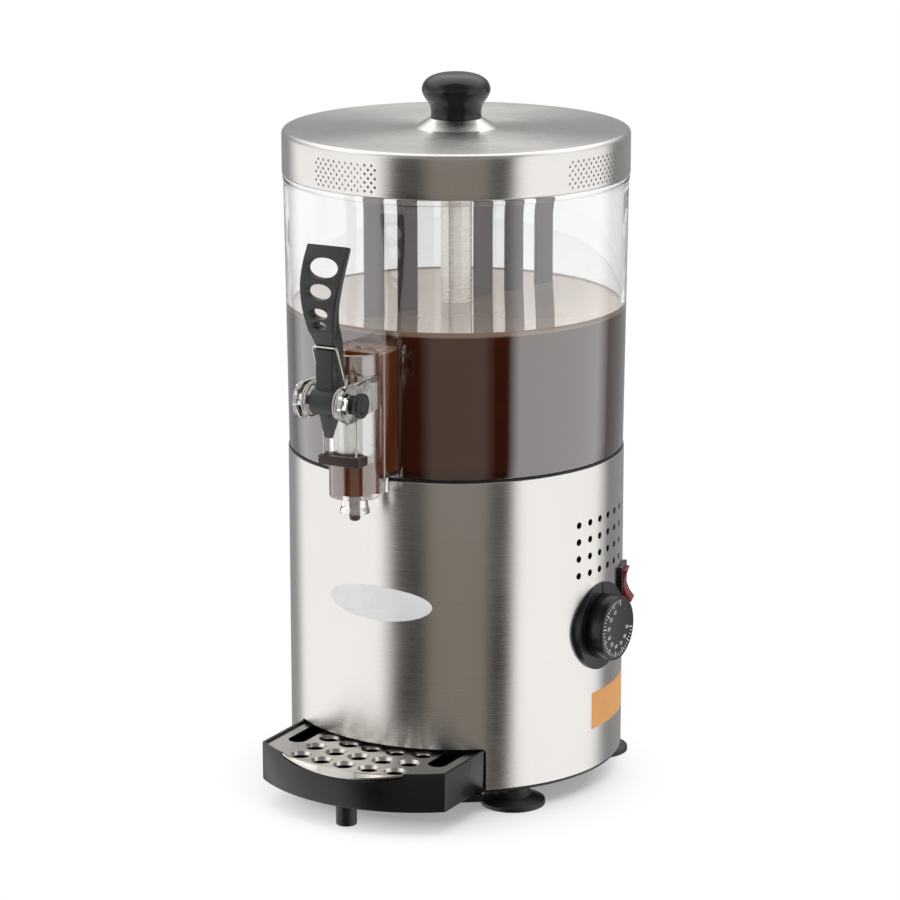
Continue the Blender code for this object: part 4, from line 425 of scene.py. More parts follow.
def steel(name, colour, stretch, turned_top=False, depth=0.05, anisotropic=0.85):
    """Brushed stainless steel. Lines run round the axis: noise is fine across them and slow along them."""
    material, tree, shader, place = new_material(name)
    centred = wire(tree, "ShaderNodeMapping", _0=place, _1=tuple(-AXIS))[0]
    flat = vectors(tree, "MULTIPLY", centred, (1, 1, 0))
    lined = centred
    if turned_top:
        x, y, z = wire(tree, "ShaderNodeSeparateXYZ", _0=centred)
        across = sum_up(tree, "ADD", vectors(tree, "LENGTH", flat), z)
        lined = wire(tree, "ShaderNodeCombineXYZ", _0=x, _1=y, _2=across)[0]
    lines = wire(tree, "ShaderNodeGroup", {"node_tree": BRUSHED_LINES}, Marks=centred, Depth=depth,
                 Along=vectors(tree, "MULTIPLY", lined, stretch))
    ring = vectors(tree, "CROSS_PRODUCT", (0, 0, 1), flat)
    blur = vectors(tree, "CROSS_PRODUCT", ring, wire(tree, "ShaderNodeNewGeometry")["Normal"])
    feed(tree, shader, Base_Color=blend(tree, 1.0, (*colour, 1), lines["Tone"], "MULTIPLY"), Metallic=1.0,
         Roughness=lines["Roughness"], Normal=lines["Normal"], Tangent=blur, Anisotropic=anisotropic)
    return material


inner, flange = HOUSING_RADIUS - HOUSING_WALL, HOUSING_RADIUS - HOUSING_WALL - FLANGE_DEEP
housing = turned("housing", rounded([
    (HOUSING_RADIUS, HOUSING_BOTTOM, 0.0004), (HOUSING_RADIUS, HOUSING_TOP, 0.0006), (inner, HOUSING_TOP),
    (inner, FLANGE_TOP), (flange, FLANGE_TOP), (flange, FLANGE_TOP - HOUSING_WALL),
    (inner, FLANGE_TOP - HOUSING_WALL), (inner, HOUSING_BOTTOM)]), sides=FINE_ROUND)
front_cut = rounded([
    (-TRAY_CUT_HALF, 0.0), (TRAY_CUT_HALF, 0.0), (TRAY_CUT_HALF, TRAY_CUT_TOP, TRAY_CUT_CORNER),
    (-TRAY_CUT_HALF, TRAY_CUT_TOP, TRAY_CUT_CORNER)])
FACING_FRONT = np.array(((1, 0, 0), (0, 0, 1), (0, -1, 0)), float)
cut(housing, extruded("tray_cut", front_cut, TRAY_CUT_REAR, HOUSING_RADIUS + 0.002,
                      (np.zeros(3), FACING_FRONT)))
punches = []
for row in range(4):
    for column in range(6):
        turn = VENT_AZIMUTH + (column - 2.5) * VENT_PITCH / HOUSING_RADIUS
        punches.append(bar(VENT_RADIUS, *PUNCH, on_wall(turn, VENT_MIDDLE + (row - 1.5) * VENT_PITCH), 28))
punches.append(bar(DIAL_BORE, *PUNCH, on_wall(DIAL_AZIMUTH, DIAL_HEIGHT), 32))
half_wide, half_high = SWITCH_HOLE
punches.append(box("switch_hole", (-half_wide, -half_high, -0.004), (half_wide, half_high, 0.002),
                   on_wall(SWITCH_AZIMUTH, SWITCH_HEIGHT)))
punches.append(bar(GLAND_HOLE, *PUNCH, on_wall(math.pi, GLAND_HEIGHT), 32))
cut(housing, together("punches", punches))
housing_steel = steel("housing_steel", STAINLESS, (30.0, 30.0, 4200.0))
dress(housing, "base", "stainless", housing_steel, "housing_shell")

# Base: a black plate closes the housing, on four moulded cup feet, with a curved rail under its front.
# The feet are soft black rubber pressed up to the plate and held by zinc screws from below.
PLATE_RADIUS, PLATE_LOW, PLATE_HIGH, FOOT_TOP = 0.1087, 0.0126, 0.0156, 0.0123
FOOT_REACH, FOOT_SPREAD = 0.0963, math.radians(39.3)
RAIL_OUTER, RAIL_WIDE, RAIL_LOW, RAIL_HALF = 0.1092, 0.012, 0.0065, 0.066


def moulded_grain():
    """Skin of a moulded part: fine pimples, and broad patches where hands have polished it."""
    group, given, result = new_group("moulded_grain", Vector=(0.0, 0.0, 0.0), Grain=2200.0, Roughness=0.45,
                                     Depth=0.1)
    cloud = noise(group, given["Vector"], 45.0, 3.0)
    bump = wire(group, "ShaderNodeBump", Strength=given["Depth"], Distance=0.0001,
                Height=noise(group, given["Vector"], given["Grain"], 2.0))[0]
    feed(group, result, Tone=between(group, cloud, 0.3, 0.7, 0.95, 1.05), Normal=bump,
         Roughness=sum_up(group, "ADD", given["Roughness"], between(group, cloud, 0.3, 0.7, -0.05, 0.06)))
    return group


MOULDED_GRAIN = moulded_grain()


def moulded(name, colour, roughness, grain=2200.0, depth=0.15, metallic=0.0, coat=0.0):
    """Material of a moulded or cast part, from the grain group with the piece's own colour."""
    material, tree, shader, place = new_material(name)
    skin = wire(tree, "ShaderNodeGroup", {"node_tree": MOULDED_GRAIN}, Vector=place, Grain=grain,
                Roughness=roughness, Depth=depth)
    feed(tree, shader, Base_Color=blend(tree, 1.0, (*colour, 1), skin["Tone"], "MULTIPLY"), Metallic=metallic,
         Roughness=skin["Roughness"], Normal=skin["Normal"], Coat_Weight=coat, Coat_Roughness=0.05)
    return material


def capped(name, rings):
    """Object over closed rings of points [u, v], with each end ring drawn in to its own middle."""
    first, last = (np.broadcast_to(ring.mean(0), ring.shape)[None] for ring in (rings[0], rings[-1]))
    return surface(name, np.vstack((first, rings, last)))


black_plastic = moulded("black_plastic", (0.005, 0.005, 0.0052), 0.27)
black_rubber = moulded("black_rubber", (0.010, 0.010, 0.010), 0.42, 1500.0, 0.3)
zinc_steel = moulded("zinc_steel", (0.55, 0.55, 0.54), 0.38, 600.0, 0.1, metallic=1.0)

plate = turned("base_disc", rounded([(0, PLATE_LOW), (PLATE_RADIUS, PLATE_LOW, 0.0008),
                                     (PLATE_RADIUS, PLATE_HIGH, 0.0003), (0, PLATE_HIGH)]))
dress(plate, "base", "black_plastic", black_plastic, "base_plate")
CUP = rounded([(0.021, 0.0, 0.0006), (0.021, 0.003, 0.0012), (0.0125, 0.0068, 0.002), (0.011, 0.0096, 0.001),
               (0.011, FOOT_TOP), (0.0023, FOOT_TOP), (0.0023, 0.003), (0.011, 0.003, 0.002),
               (0.018, 0.0, 0.0005)])
for side, flank in (("left", -1), ("right", 1)):
    for end, way in (("front", -1), ("rear", 1)):
        place = over(flank * FOOT_REACH * math.cos(FOOT_SPREAD), way * FOOT_REACH * math.sin(FOOT_SPREAD))
        foot = turned(f"cup_foot_{end}_{side}", CUP, place, 96)
        dress(foot, "base", "black_rubber", black_rubber, f"foot_{end}_{side}")

rail_sweep = math.asin(RAIL_HALF / RAIL_OUTER)
bearing = np.linspace(-rail_sweep, rail_sweep, 64)[:, None]
rail_inner = RAIL_OUTER - RAIL_WIDE
reach, height = rounded([(RAIL_OUTER, RAIL_LOW, 0.0012), (RAIL_OUTER, FOOT_TOP, 0.0004),
                         (rail_inner, FOOT_TOP, 0.0004), (rail_inner, RAIL_LOW, 0.0012)]).T
rail = np.stack((reach * np.sin(bearing), -reach * np.cos(bearing), height + 0 * bearing), axis=-1)
dress(capped("base_rail", rail), "base", "black_plastic", black_plastic, "front_rail")

# Heating pan, gasket and centre column: the pan is pressed steel and is the tank's warm floor, the gasket is
# black rubber under the tank, and the column is a polished tube that carries the paddle's nylon bush.
PAN_LOW, PAN_FLOOR, PAN_SHEET, PAN_STEP, PAN_HOLE = 0.2054, 0.2154, 0.001, 0.0992, 0.0103
COLUMN_RADIUS, COLUMN_BORE, COLUMN_TOP, COLLAR_RADIUS = 0.010, 0.006, 0.413, 0.016
pan = turned("pan", rounded([
    (PLATE_RADIUS, PAN_LOW), (PLATE_RADIUS, HOUSING_TOP, 0.0012), (PAN_STEP, HOUSING_TOP, 0.0012),
    (PAN_STEP - PAN_SHEET, PAN_FLOOR, 0.0010), (PAN_HOLE, PAN_FLOOR), (PAN_HOLE, PAN_FLOOR - PAN_SHEET),
    (PAN_STEP - PAN_SHEET, PAN_FLOOR - PAN_SHEET), (PAN_STEP, HOUSING_TOP - PAN_SHEET),
    (PLATE_RADIUS - PAN_SHEET, HOUSING_TOP - PAN_SHEET), (PLATE_RADIUS - PAN_SHEET, PAN_LOW)]))
dress(pan, "base", "stainless", housing_steel, "heating_pan")
gasket = turned("gasket", rounded([(0.1097, 0.2187, 0.0004), (0.1097, 0.2197, 0.0004), (PAN_STEP, 0.2197),
                                   (PAN_STEP, 0.2187)]))
dress(gasket, "base", "black_rubber", black_rubber, "tank_gasket")
column_low = float(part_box("centre_column")[0].z)
column = turned("column", rounded([
    (COLUMN_RADIUS, column_low), (COLUMN_RADIUS, 0.2157), (COLLAR_RADIUS, 0.2157),
    (COLLAR_RADIUS, 0.2177, 0.0006), (COLUMN_RADIUS, 0.2177, 0.0008), (COLUMN_RADIUS, COLUMN_TOP, 0.0005),
    (COLUMN_BORE, COLUMN_TOP), (COLUMN_BORE, column_low)]), sides=96)
column_steel = steel("column_steel", STAINLESS, (26.0, 26.0, 1600.0), depth=0.06, anisotropic=0.6)
dress(column, "base", "stainless", column_steel, "centre_column")
bush_low, bush_high = (float(corner.z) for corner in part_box("column_bush"))
bush = turned("bush", rounded([
    (0.0057, bush_low), (0.0057, 0.4133), (0.009, 0.4133, 0.0003), (0.009, bush_high, 0.0004),
    (0.0043, bush_high), (0.0043, bush_low)]), sides=64)
white_nylon = moulded("white_nylon", (0.78, 0.77, 0.74), 0.4, 1200.0, 0.1)
dress(bush, "base", "white_nylon", white_nylon, "column_bush")

# Drive and wiring inside the housing: motor, gearbox, bracket, element, thermostat body and terminals.
# They are hidden, so they keep their plain solids, in zinc steel, black plastic, nylon and steel.
INSIDE = {
    zinc_steel: ["motor_bracket", "gearbox", "heating_element", "element_clamp", "column_nut", "lid_screw",
                 "thermostat_body", "thermostat_spindle", "foot_screw_front_left", "foot_screw_front_right",
                 "foot_screw_rear_left", "foot_screw_rear_right"],
    black_plastic: ["gear_motor", "gland_nut"],
    white_nylon: ["terminal_block"],
    column_steel: ["drive_shaft"]}
for finish, nodes in INSIDE.items():
    for node in nodes:
        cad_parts[node].data.materials.clear()
        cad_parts[node].data.materials.append(finish)

# Tank: clear polycarbonate moulded in one with the tap's box, its round chamber, the nozzle and two ears.
# It flares a little to a bead under the lid, and stands on a thick foot that grips the gasket.
TANK_BOTTOM, TANK_TOP, TANK_FOOT, TANK_WALL, TANK_FLARE = 0.2200, 0.4235, 0.1094, 0.003, 0.0021
FOOT_INNER, FOOT_HIGH = 0.0984, 0.2250
BEAD_LOW, BEAD_HIGH, NECK_OUTER, NECK_INNER = 0.3951, 0.3986, 0.1106, 0.1076
BOX_HALF, BOX_FRONT, BOX_LOW, BOX_HIGH = 0.018, 0.128, 0.224, 0.3055
BOX_INSIDE, BOX_FLOOR, BOX_ROOF, INLET_HALF, INLET_TOP = 0.0155, 0.2265, 0.3030, 0.00945, 0.2365
CHAMBER_AT, CHAMBER_RADIUS, CHAMBER_BORE = (0.0, -0.1336), 0.016, 0.0135
CHAMBER_LOW, CHAMBER_FLOOR, NOZZLE_LOW, NOZZLE_RADIUS, NOZZLE_BORE = 0.213, 0.216, 0.202, 0.0095, 0.0072
EAR_RADIUS, EAR_THICK, AXLE_HOLE = 0.012, 0.0038, 0.0033
PIVOT = np.array((0.0, -0.167, 0.280))
LEVEL = 0.3135
ALONG_X = np.array(((0, 0, -1), (0, 1, 0), (1, 0, 0)), float)
SIDEWAYS = np.array(((0, 1, 0), (0, 0, 1), (1, 0, 0)), float)
CHAMBER = over(*CHAMBER_AT)


def arc(centre, radius, start, end, steps):
    """Arc about a centre: (c + r cos t, d + r sin t) for angles t from start to end, in degrees."""
    t = np.radians(np.linspace(start, end, steps + 1))
    return np.column_stack((centre[0] + radius * np.cos(t), centre[1] + radius * np.sin(t)))


heights = np.linspace(TANK_BOTTOM + 0.012, BEAD_LOW - 0.006, 14)
flare = TANK_FOOT + (heights - TANK_BOTTOM) / (BEAD_LOW - TANK_BOTTOM) * TANK_FLARE
tank = turned("tank", rounded(
    [(TANK_FOOT, TANK_BOTTOM, 0.0008), *zip(flare, heights), (0.1115, BEAD_LOW, 0.0004),
     (0.112, BEAD_LOW, 0.0006), (0.112, BEAD_HIGH, 0.0008), (NECK_OUTER, BEAD_HIGH, 0.0006),
     (NECK_OUTER, TANK_TOP, 0.0008),
     (NECK_INNER, TANK_TOP, 0.0008), (NECK_INNER, BEAD_HIGH, 0.002), (0.1085, BEAD_LOW, 0.002),
     *zip(flare[::-1] - TANK_WALL, heights[::-1]), (TANK_FOOT - TANK_WALL, FOOT_HIGH, 0.0025),
     (FOOT_INNER, FOOT_HIGH, 0.0010), (FOOT_INNER, TANK_BOTTOM, 0.0004)]), sides=FINE_ROUND)
box_outline = rounded([(-BOX_HALF, -BOX_FRONT, 0.0022), (BOX_HALF, -BOX_FRONT, 0.0022),
                       (BOX_HALF, -0.10639), (-BOX_HALF, -0.10639)], 6)
fuse(tank, soften(extruded("tap_box", box_outline, BOX_LOW, BOX_HIGH), 0.0007, 2, 50))
cut(tank, box("box_hollow", (-BOX_INSIDE, -0.1255, BOX_FLOOR), (BOX_INSIDE, -0.1004, BOX_ROOF)))
fuse(tank, turned("chamber", rounded([
    (0, NOZZLE_LOW), (NOZZLE_RADIUS, NOZZLE_LOW, 0.0006), (NOZZLE_RADIUS, 0.2042, 0.0008),
    (0.0084, 0.2064, 0.0010), (0.0084, CHAMBER_LOW, 0.0012), (CHAMBER_RADIUS, CHAMBER_LOW, 0.0014),
    (CHAMBER_RADIUS, BOX_HIGH, 0.0007), (0, BOX_HIGH)]), CHAMBER, 96))
ear_outline = np.vstack((arc((0, 0), EAR_RADIUS, 90, 270, 24), [(0.0334, -0.009), (0.0334, 0.012)]))
for inside in (-0.0177, 0.0139):
    ear = extruded("ear", ear_outline, inside, inside + EAR_THICK, (PIVOT, SIDEWAYS))
    fuse(tank, soften(ear, 0.0005, 2, 50))
fuse(tank, turned("peg", rounded([(0, 0.214), (0.0026, 0.214, 0.0005), (0.0026, 0.22525), (0, 0.22525)]),
                  over(0.0151, -0.1225), 32))
cut(tank,
    turned("bore", [(0, NOZZLE_LOW - 0.002), (NOZZLE_BORE, NOZZLE_LOW - 0.002), (NOZZLE_BORE, CHAMBER_LOW),
                    (0.005, CHAMBER_LOW), (0.005, CHAMBER_FLOOR), (CHAMBER_BORE, CHAMBER_FLOOR),
                    (CHAMBER_BORE, BOX_HIGH + 0.002), (0, BOX_HIGH + 0.002)], CHAMBER, 96),
    box("inlet", (-INLET_HALF, -0.1336, BOX_FLOOR), (INLET_HALF, -0.1156, INLET_TOP)),
    box("lever_slot", (-0.0032, -0.1516, 0.2753), (0.0032, -0.1336, 0.2909)),
    bar(AXLE_HOLE, -0.02, 0.02, (PIVOT, ALONG_X), 48))

clear, tree, shader, place = new_material("clear_plastic")
height = wire(tree, "ShaderNodeSeparateXYZ", _0=place)[2]
feed(tree, shader, Base_Color=(0.975, 0.98, 0.98, 1), IOR=1.5, Transmission_Weight=1.0, Coat_Roughness=0.02,
     Coat_IOR=2.5, Coat_Weight=between(tree, height, LEVEL - 0.001, LEVEL + 0.001, 1.0, 0.4),
     Roughness=between(tree, noise(tree, place, 30.0, 3.0), 0.35, 0.75, 0.0, 0.06))
passing = wire(tree, "ShaderNodeBsdfTransparent", Color=(0.93, 0.93, 0.93, 1))[0]
shadow = wire(tree, "ShaderNodeLightPath")["Is Shadow Ray"]
feed(tree, tree.nodes["Material Output"], Surface=either(tree, shadow, shader.outputs[0], passing))
dress(tank, "base", "clear_plastic", clear, "tank_shell")

# Drink: hot chocolate up to two thirds of the tank, in the tap's box and in the foot of its chamber.
# It reaches a hair into the tank's wall, and its skin climbs a little where it meets the plastic.
INTO_WALL = 0.0001
edge = TANK_FOOT - TANK_WALL + TANK_FLARE * (LEVEL - FOOT_HIGH) / 0.1701 + INTO_WALL
drink = turned("drink", [
    (0, 0.2158), (0.0975, 0.2158), (0.0985, 0.2195), (0.0985, 0.2251), (0.1065, 0.2251),
    (edge, LEVEL + 0.0012), (edge - 0.0005, LEVEL + 0.0006), (edge - 0.0014, LEVEL + 0.0002),
    (edge - 0.003, LEVEL), (0, LEVEL)], sides=FINE_ROUND)
fill, low = BOX_INSIDE + INTO_WALL, BOX_FLOOR - INTO_WALL
fuse(drink, box("box_drink", (-fill, -0.1256, low), (fill, -0.0950, BOX_ROOF + INTO_WALL)),
     bar(CHAMBER_BORE + INTO_WALL, CHAMBER_FLOOR - INTO_WALL, INLET_TOP - INTO_WALL, CHAMBER, 96),
     box("inlet_drink", (-INLET_HALF - INTO_WALL, -0.1336, low), (INLET_HALF + INTO_WALL, -0.1156, 0.2364)))
chocolate, tree, shader, place = new_material("chocolate_drink")
swirl = noise(tree, place, 22.0, 4.0, Distortion=1.2)
body = ramp(tree, swirl, [(0.3, (0.058, 0.0085, 0.0022)), (0.7, (0.070, 0.0110, 0.0030))])
# The pale froth colour goes on the top-facing faces and the rim band. It is partly real foam and partly
# painted sheen, standing in for the bright reflection on the drink's surface.
froth_and_painted_sheen = ramp(tree, swirl, [(0.3, (0.31, 0.215, 0.155)), (0.7, (0.36, 0.26, 0.195))])
# Lighter orange-brown for the drink in the tap's box: painted light, standing in for light shining through
# the thin layer of chocolate there.
painted_light_through_drink = (0.185, 0.050, 0.015, 1)
normal = wire(tree, "ShaderNodeSeparateXYZ", _0=wire(tree, "ShaderNodeNewGeometry")["Normal"])
skin = between(tree, normal[2], 0.6, 0.9)
parts = wire(tree, "ShaderNodeSeparateXYZ", _0=place)
in_tap = between(tree, parts[1], float(AXIS[1]) - 0.1075, float(AXIS[1]) - 0.1095)
rim = between(tree, parts[2], LEVEL - 0.0026, LEVEL - 0.0014)
feed(tree, shader, Roughness=between(tree, swirl, 0.3, 0.7, 0.05, 0.09), Coat_Weight=skin,
     Coat_Roughness=0.04, Coat_IOR=2.0, Specular_IOR_Level=0.0,
     Base_Color=blend(tree, sum_up(tree, "MAXIMUM", rim, skin), blend(tree, in_tap, body, painted_light_through_drink), froth_and_painted_sheen))
dress(drink, "base", "brown_plastic", chocolate)

# Stirring paddle: grey moulded plastic, a bar across the column with five staggered blades of one width.
# Its hub sits on the drive shaft, and the blades hang almost to the floor of the tank.
PADDLE_AZIMUTH, PADDLE_REACH = math.radians(73.2), 0.08989
BLADE_SHARES, BLADE_HALF, BLADE_END = (-0.812, -0.487, 0.2748, 0.5973, 0.9166), 0.0075, 0.2229
BAR_LOW, BAR_HIGH, BAR_HALF = 0.4155, 0.4219, 0.004
along = np.array((math.cos(PADDLE_AZIMUTH), math.sin(PADDLE_AZIMUTH), 0.0))
across = np.array((-math.sin(PADDLE_AZIMUTH), math.cos(PADDLE_AZIMUTH), 0.0))
hanging = (np.zeros(3), np.array((along, UP, np.cross(along, UP))))
blade_places = [PADDLE_REACH * share for share in BLADE_SHARES]
ends = (blade_places[0] - BLADE_HALF, blade_places[-1] + BLADE_HALF)
paddle = extruded("paddle", rounded([(ends[0], -BAR_HALF, 0.001), (ends[1], -BAR_HALF, 0.001),
                                     (ends[1], BAR_HALF, 0.001), (ends[0], BAR_HALF, 0.001)], 3),
                  BAR_LOW, BAR_HIGH, (np.zeros(3), np.array((along, across, UP))))
fuse(paddle, turned("hub", rounded([(0, BAR_LOW), (0.012, BAR_LOW), (0.012, BAR_HIGH, 0.001), (0, BAR_HIGH)]),
                    sides=64))
for middle in blade_places:
    blade = rounded([(middle - BLADE_HALF, BLADE_END, 0.005), (middle + BLADE_HALF, BLADE_END, 0.005),
                     (middle + BLADE_HALF, 0.4187), (middle - BLADE_HALF, 0.4187)], 6)
    fuse(paddle, extruded("blade", blade, -0.0015, 0.0015, hanging))
cut(paddle, bar(0.0043, BAR_LOW - 0.002, BAR_HIGH - 0.0012, sides=48))
soften(paddle, 0.0004, 2)
paddle_plastic = moulded("paddle_plastic", (0.105, 0.080, 0.086), 0.65, 900.0, 0.1)
feed(paddle_plastic.node_tree, paddle_plastic.node_tree.nodes["Principled BSDF"], Specular_IOR_Level=0.2)
dress(paddle, "agitator", "paddle_plastic", paddle_plastic, "stirring_paddle")

# Tap axle: black moulded pin through the ears, with a mushroom head on the right and a thin tip on the left.
AXLE_RADIUS = 0.003
axle = turned("axle", rounded([
    (0, -0.021), (0.0022, -0.021, 0.0005), (0.0022, -0.018), (AXLE_RADIUS, -0.018), (AXLE_RADIUS, 0.018),
    (0.006, 0.018), (0.005, 0.0199, 0.0008), (0.0078, 0.0221, 0.0006), (0.0078, 0.0260, 0.0009),
    (0.0052, 0.0260, 0.0004), (0.0040, 0.0253, 0.0006), (0, 0.0253)]), (PIVOT, ALONG_X), 64)
dress(axle, "base", "black_plastic", black_plastic, "tap_axle")

# Tap lever: charcoal nylon. A deep stem on the axle fans out into a thin bowed blade with four oval windows,
# and a beak below the hub ends in the bead that lifts the plunger.
STEM_THICK, STEM_WIDE, STEM_HIGH = 0.0145, 0.013, 0.0345
BLADE_HIGH, BLADE_WIDE, BLADE_THIN, BULGE = 0.0625, 0.0298, 0.004, 0.0069
HUB_HALF, HUB_RADIUS, BEAK_HALF, BEAD_AT, BEAD_RADIUS = 0.008, 0.0085, 0.0027, (0.024, -0.001), 0.0032
WINDOWS = ((0.0490, 0.0095), (0.0565, 0.0127), (0.0700, 0.0177), (0.0840, 0.0220))
stem_front = -STEM_THICK * 0.18


def run_through(points, steps):
    """Smooth run through points: each stretch is a cubic whose slopes are half the neighbours' distance."""
    points = np.asarray(points, float)
    ends = np.vstack((2 * points[:1] - points[1:2], points, 2 * points[-1:] - points[-2:-1]))
    t = np.linspace(0, 1, steps, endpoint=False)[:, None, None]
    a, b, c, d = ends[:-3], ends[1:-2], ends[2:-1], ends[3:]
    run = 0.5 * (2 * b + (c - a) * t + (2 * a - 5 * b + 4 * c - d) * t**2 + (3 * b - a - 3 * c + d) * t**3)
    return np.vstack((run.transpose(1, 0, 2).reshape(-1, points.shape[1]), points[-1:]))


shares = np.array((0.0, 0.10, 0.18, 0.40, 0.62, 0.82, 1.0))
bulge = np.array((0.0, 0.30, 0.62, 1.0, 0.80, 0.12, -0.80))
fan = np.array((0.06, 0.20, 0.36, 0.65, 0.90, 1.0, 1.0))
thin = np.array((0.26, 0.42, 0.60, 0.80, 0.91, 0.96, 1.0))
foot = np.array((0, stem_front - 0.0003, STEM_THICK, STEM_WIDE))
blade = np.column_stack((STEM_HIGH + BLADE_HIGH * shares, stem_front - BULGE * bulge,
                         STEM_THICK + (BLADE_THIN - STEM_THICK) * thin,
                         STEM_WIDE + (BLADE_WIDE - STEM_WIDE) * fan))
stations = run_through(np.vstack((foot, foot + (STEM_HIGH * 0.55, 0, 0, 0), blade)), 10)
slope = np.gradient(stations[:, :2], axis=0)
slope /= np.linalg.norm(slope, axis=1)[:, None]
rings = []
for thick, wide in stations[:, 2:]:
    half, lip = wide / 2, min(0.0016, thick * 0.4)
    rings.append(rounded([(-half, 0, lip), (half, 0, lip), (half, thick, lip), (-half, thick, lip)]))
aside, back = np.moveaxis(np.array(rings), 2, 0)
lever = capped("lever", np.stack((aside, PIVOT[1] + stations[:, 1:2] + slope[:, :1] * back,
                                  PIVOT[2] + stations[:, :1] - slope[:, 1:] * back), axis=-1))
fuse(lever, turned("lever_hub", rounded([
    (0, -HUB_HALF), (HUB_RADIUS, -HUB_HALF, 0.0006), (HUB_RADIUS, HUB_HALF, 0.0006), (0, HUB_HALF)]),
    (PIVOT, ALONG_X), 64))
beak = rounded([(-0.00425, -0.0073), (0.00144, -0.0232, 0.0012), (0.0024, -0.0232, 0.0012),
                (0.01008, -0.0130, 0.004), (0.01488, -0.0037, 0.004), (0.024, -0.0034), (0.024, 0.0014),
                (0, 0.0014)], 6)
for outline in (beak, arc(BEAD_AT, BEAD_RADIUS, 0, 345, 23)):
    fuse(lever, extruded("beak", outline, -BEAK_HALF, BEAK_HALF, (PIVOT, SIDEWAYS)))
windows = [extruded("window", arc((0, 0), 1, 0, 352.5, 47) * (width / 2, width * 0.275), -0.02, 0.02,
                    (PIVOT + (0, 0, height), FACING_FRONT)) for height, width in WINDOWS]
cut(lever, bar(AXLE_HOLE, -0.01, 0.01, (PIVOT, ALONG_X), 48),
    box("spring_groove", (-0.013, stem_front - 0.013, STEM_HIGH - 0.00175),
        (0.013, stem_front + 0.0018, STEM_HIGH + 0.00175), (PIVOT, np.eye(3))), together("windows", windows))
soften(lever, 0.0004, 3, 40)
charcoal = moulded("charcoal_plastic", (0.026, 0.027, 0.0275), 0.40, 1800.0, 0.12)
dress(lever, "lever", "charcoal_plastic", charcoal, "tap_lever", smooth=35)

# Spring and rest: one spring-steel wire. Its legs stand in the brown rest, it winds two turns round each end
# of the lever's hub, and its loop crosses the front of the stem to push the lever home.
WIRE, COIL, COIL_PITCH, COIL_TURNS = 0.0007, 0.0098, 0.00185, 2
LEG_BACK, LEG_SPREAD, SOCKET_FLOOR, SOCKET_RADIUS = 0.016, 0.0112, -0.0402, 0.00115
REST_LOW, REST_HIGH = (-0.0144, -0.1539, 0.236), (0.0144, -0.1416, 0.242)


def tube_along(name, path, radius, sides=14):
    """Round bar along a path: rings of radius r, each square to the path, without a twist between them."""
    path = np.asarray(path, float)
    tangent = np.gradient(path, axis=0)
    tangent /= np.linalg.norm(tangent, axis=1)[:, None]
    across = [np.cross(tangent[0], (0.31, 0.57, 0.76))]
    for t in tangent[1:]:
        across.append(across[-1] - t * np.dot(across[-1], t))
        across[-1] = across[-1] / np.linalg.norm(across[-1])
    across = np.array(across)
    across[0] /= np.linalg.norm(across[0])
    angle = np.linspace(0, math.tau, sides, endpoint=False)[None, :, None]
    other = np.cross(tangent, across)
    rings = np.cos(angle) * across[:, None] + np.sin(angle) * other[:, None]
    return capped(name, path[:, None] + radius * rings)


loop_y = stem_front + 0.0018 - 0.0003 - WIRE
coil_in = HUB_HALF + 0.0003 + WIRE
first_turn = math.atan2(STEM_HIGH, loop_y) - math.acos(COIL / math.hypot(loop_y, STEM_HIGH))
touch = np.array((coil_in, COIL * math.cos(first_turn), COIL * math.sin(first_turn)))
bend = np.array((coil_in - WIRE, loop_y + 0.0006, STEM_HIGH - WIRE * 2.5))
loop = run_through([(0, loop_y, STEM_HIGH), (STEM_WIDE / 4, loop_y, STEM_HIGH),
                    (coil_in - WIRE * 3, loop_y, STEM_HIGH),
                    (coil_in - WIRE * 1.5, loop_y + 0.0003, STEM_HIGH - WIRE), bend,
                    bend + (touch - bend) * 0.3, bend + (touch - bend) * 0.85, touch], 6)
wind = np.linspace(0, COIL_TURNS, 97)[1:]
coil_turn = first_turn - math.tau * wind
coil = np.column_stack((coil_in + COIL_PITCH * wind, COIL * np.cos(coil_turn), COIL * np.sin(coil_turn)))
leave = coil[-1]
knee = np.array((LEG_SPREAD + (leave[0] - LEG_SPREAD) / 2, LEG_BACK, leave[2] - (LEG_BACK - leave[1]) * 2.6))
slide = np.linspace(0.05, 1, 16)[:, None]
bow = np.hstack((slide, np.sin(slide * math.pi / 2), slide))
foot = np.array((LEG_SPREAD, LEG_BACK, SOCKET_FLOOR))
half_spring = np.vstack((loop, coil, leave + (knee - leave) * bow,
                         knee + (foot - knee) * np.linspace(0.1, 1, 10)[:, None]))
spring = tube_along("spring", np.vstack((half_spring[:0:-1] * (-1, 1, 1), half_spring)) + PIVOT, WIRE)
spring.data.materials.append(moulded("spring_steel", (0.72, 0.69, 0.63), 0.22, 500.0, 0.05, metallic=1.0))
spring.data.shade_smooth()
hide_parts("tap_spring")
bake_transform(spring)

rest = soften(box("rest", REST_LOW, REST_HIGH), 0.0008, 3)
cut(rest, bar(0.0163, 0.23, 0.25, CHAMBER, 96),
    *[bar(SOCKET_RADIUS, 0.2395, 0.25, over(x, -0.151), 24) for x in (-LEG_SPREAD, LEG_SPREAD)])
brown_silicone = moulded("brown_silicone", (0.030, 0.013, 0.009), 0.45, 1400.0, 0.2)
dress(rest, "base", "brown_plastic", brown_silicone, "spring_rest")

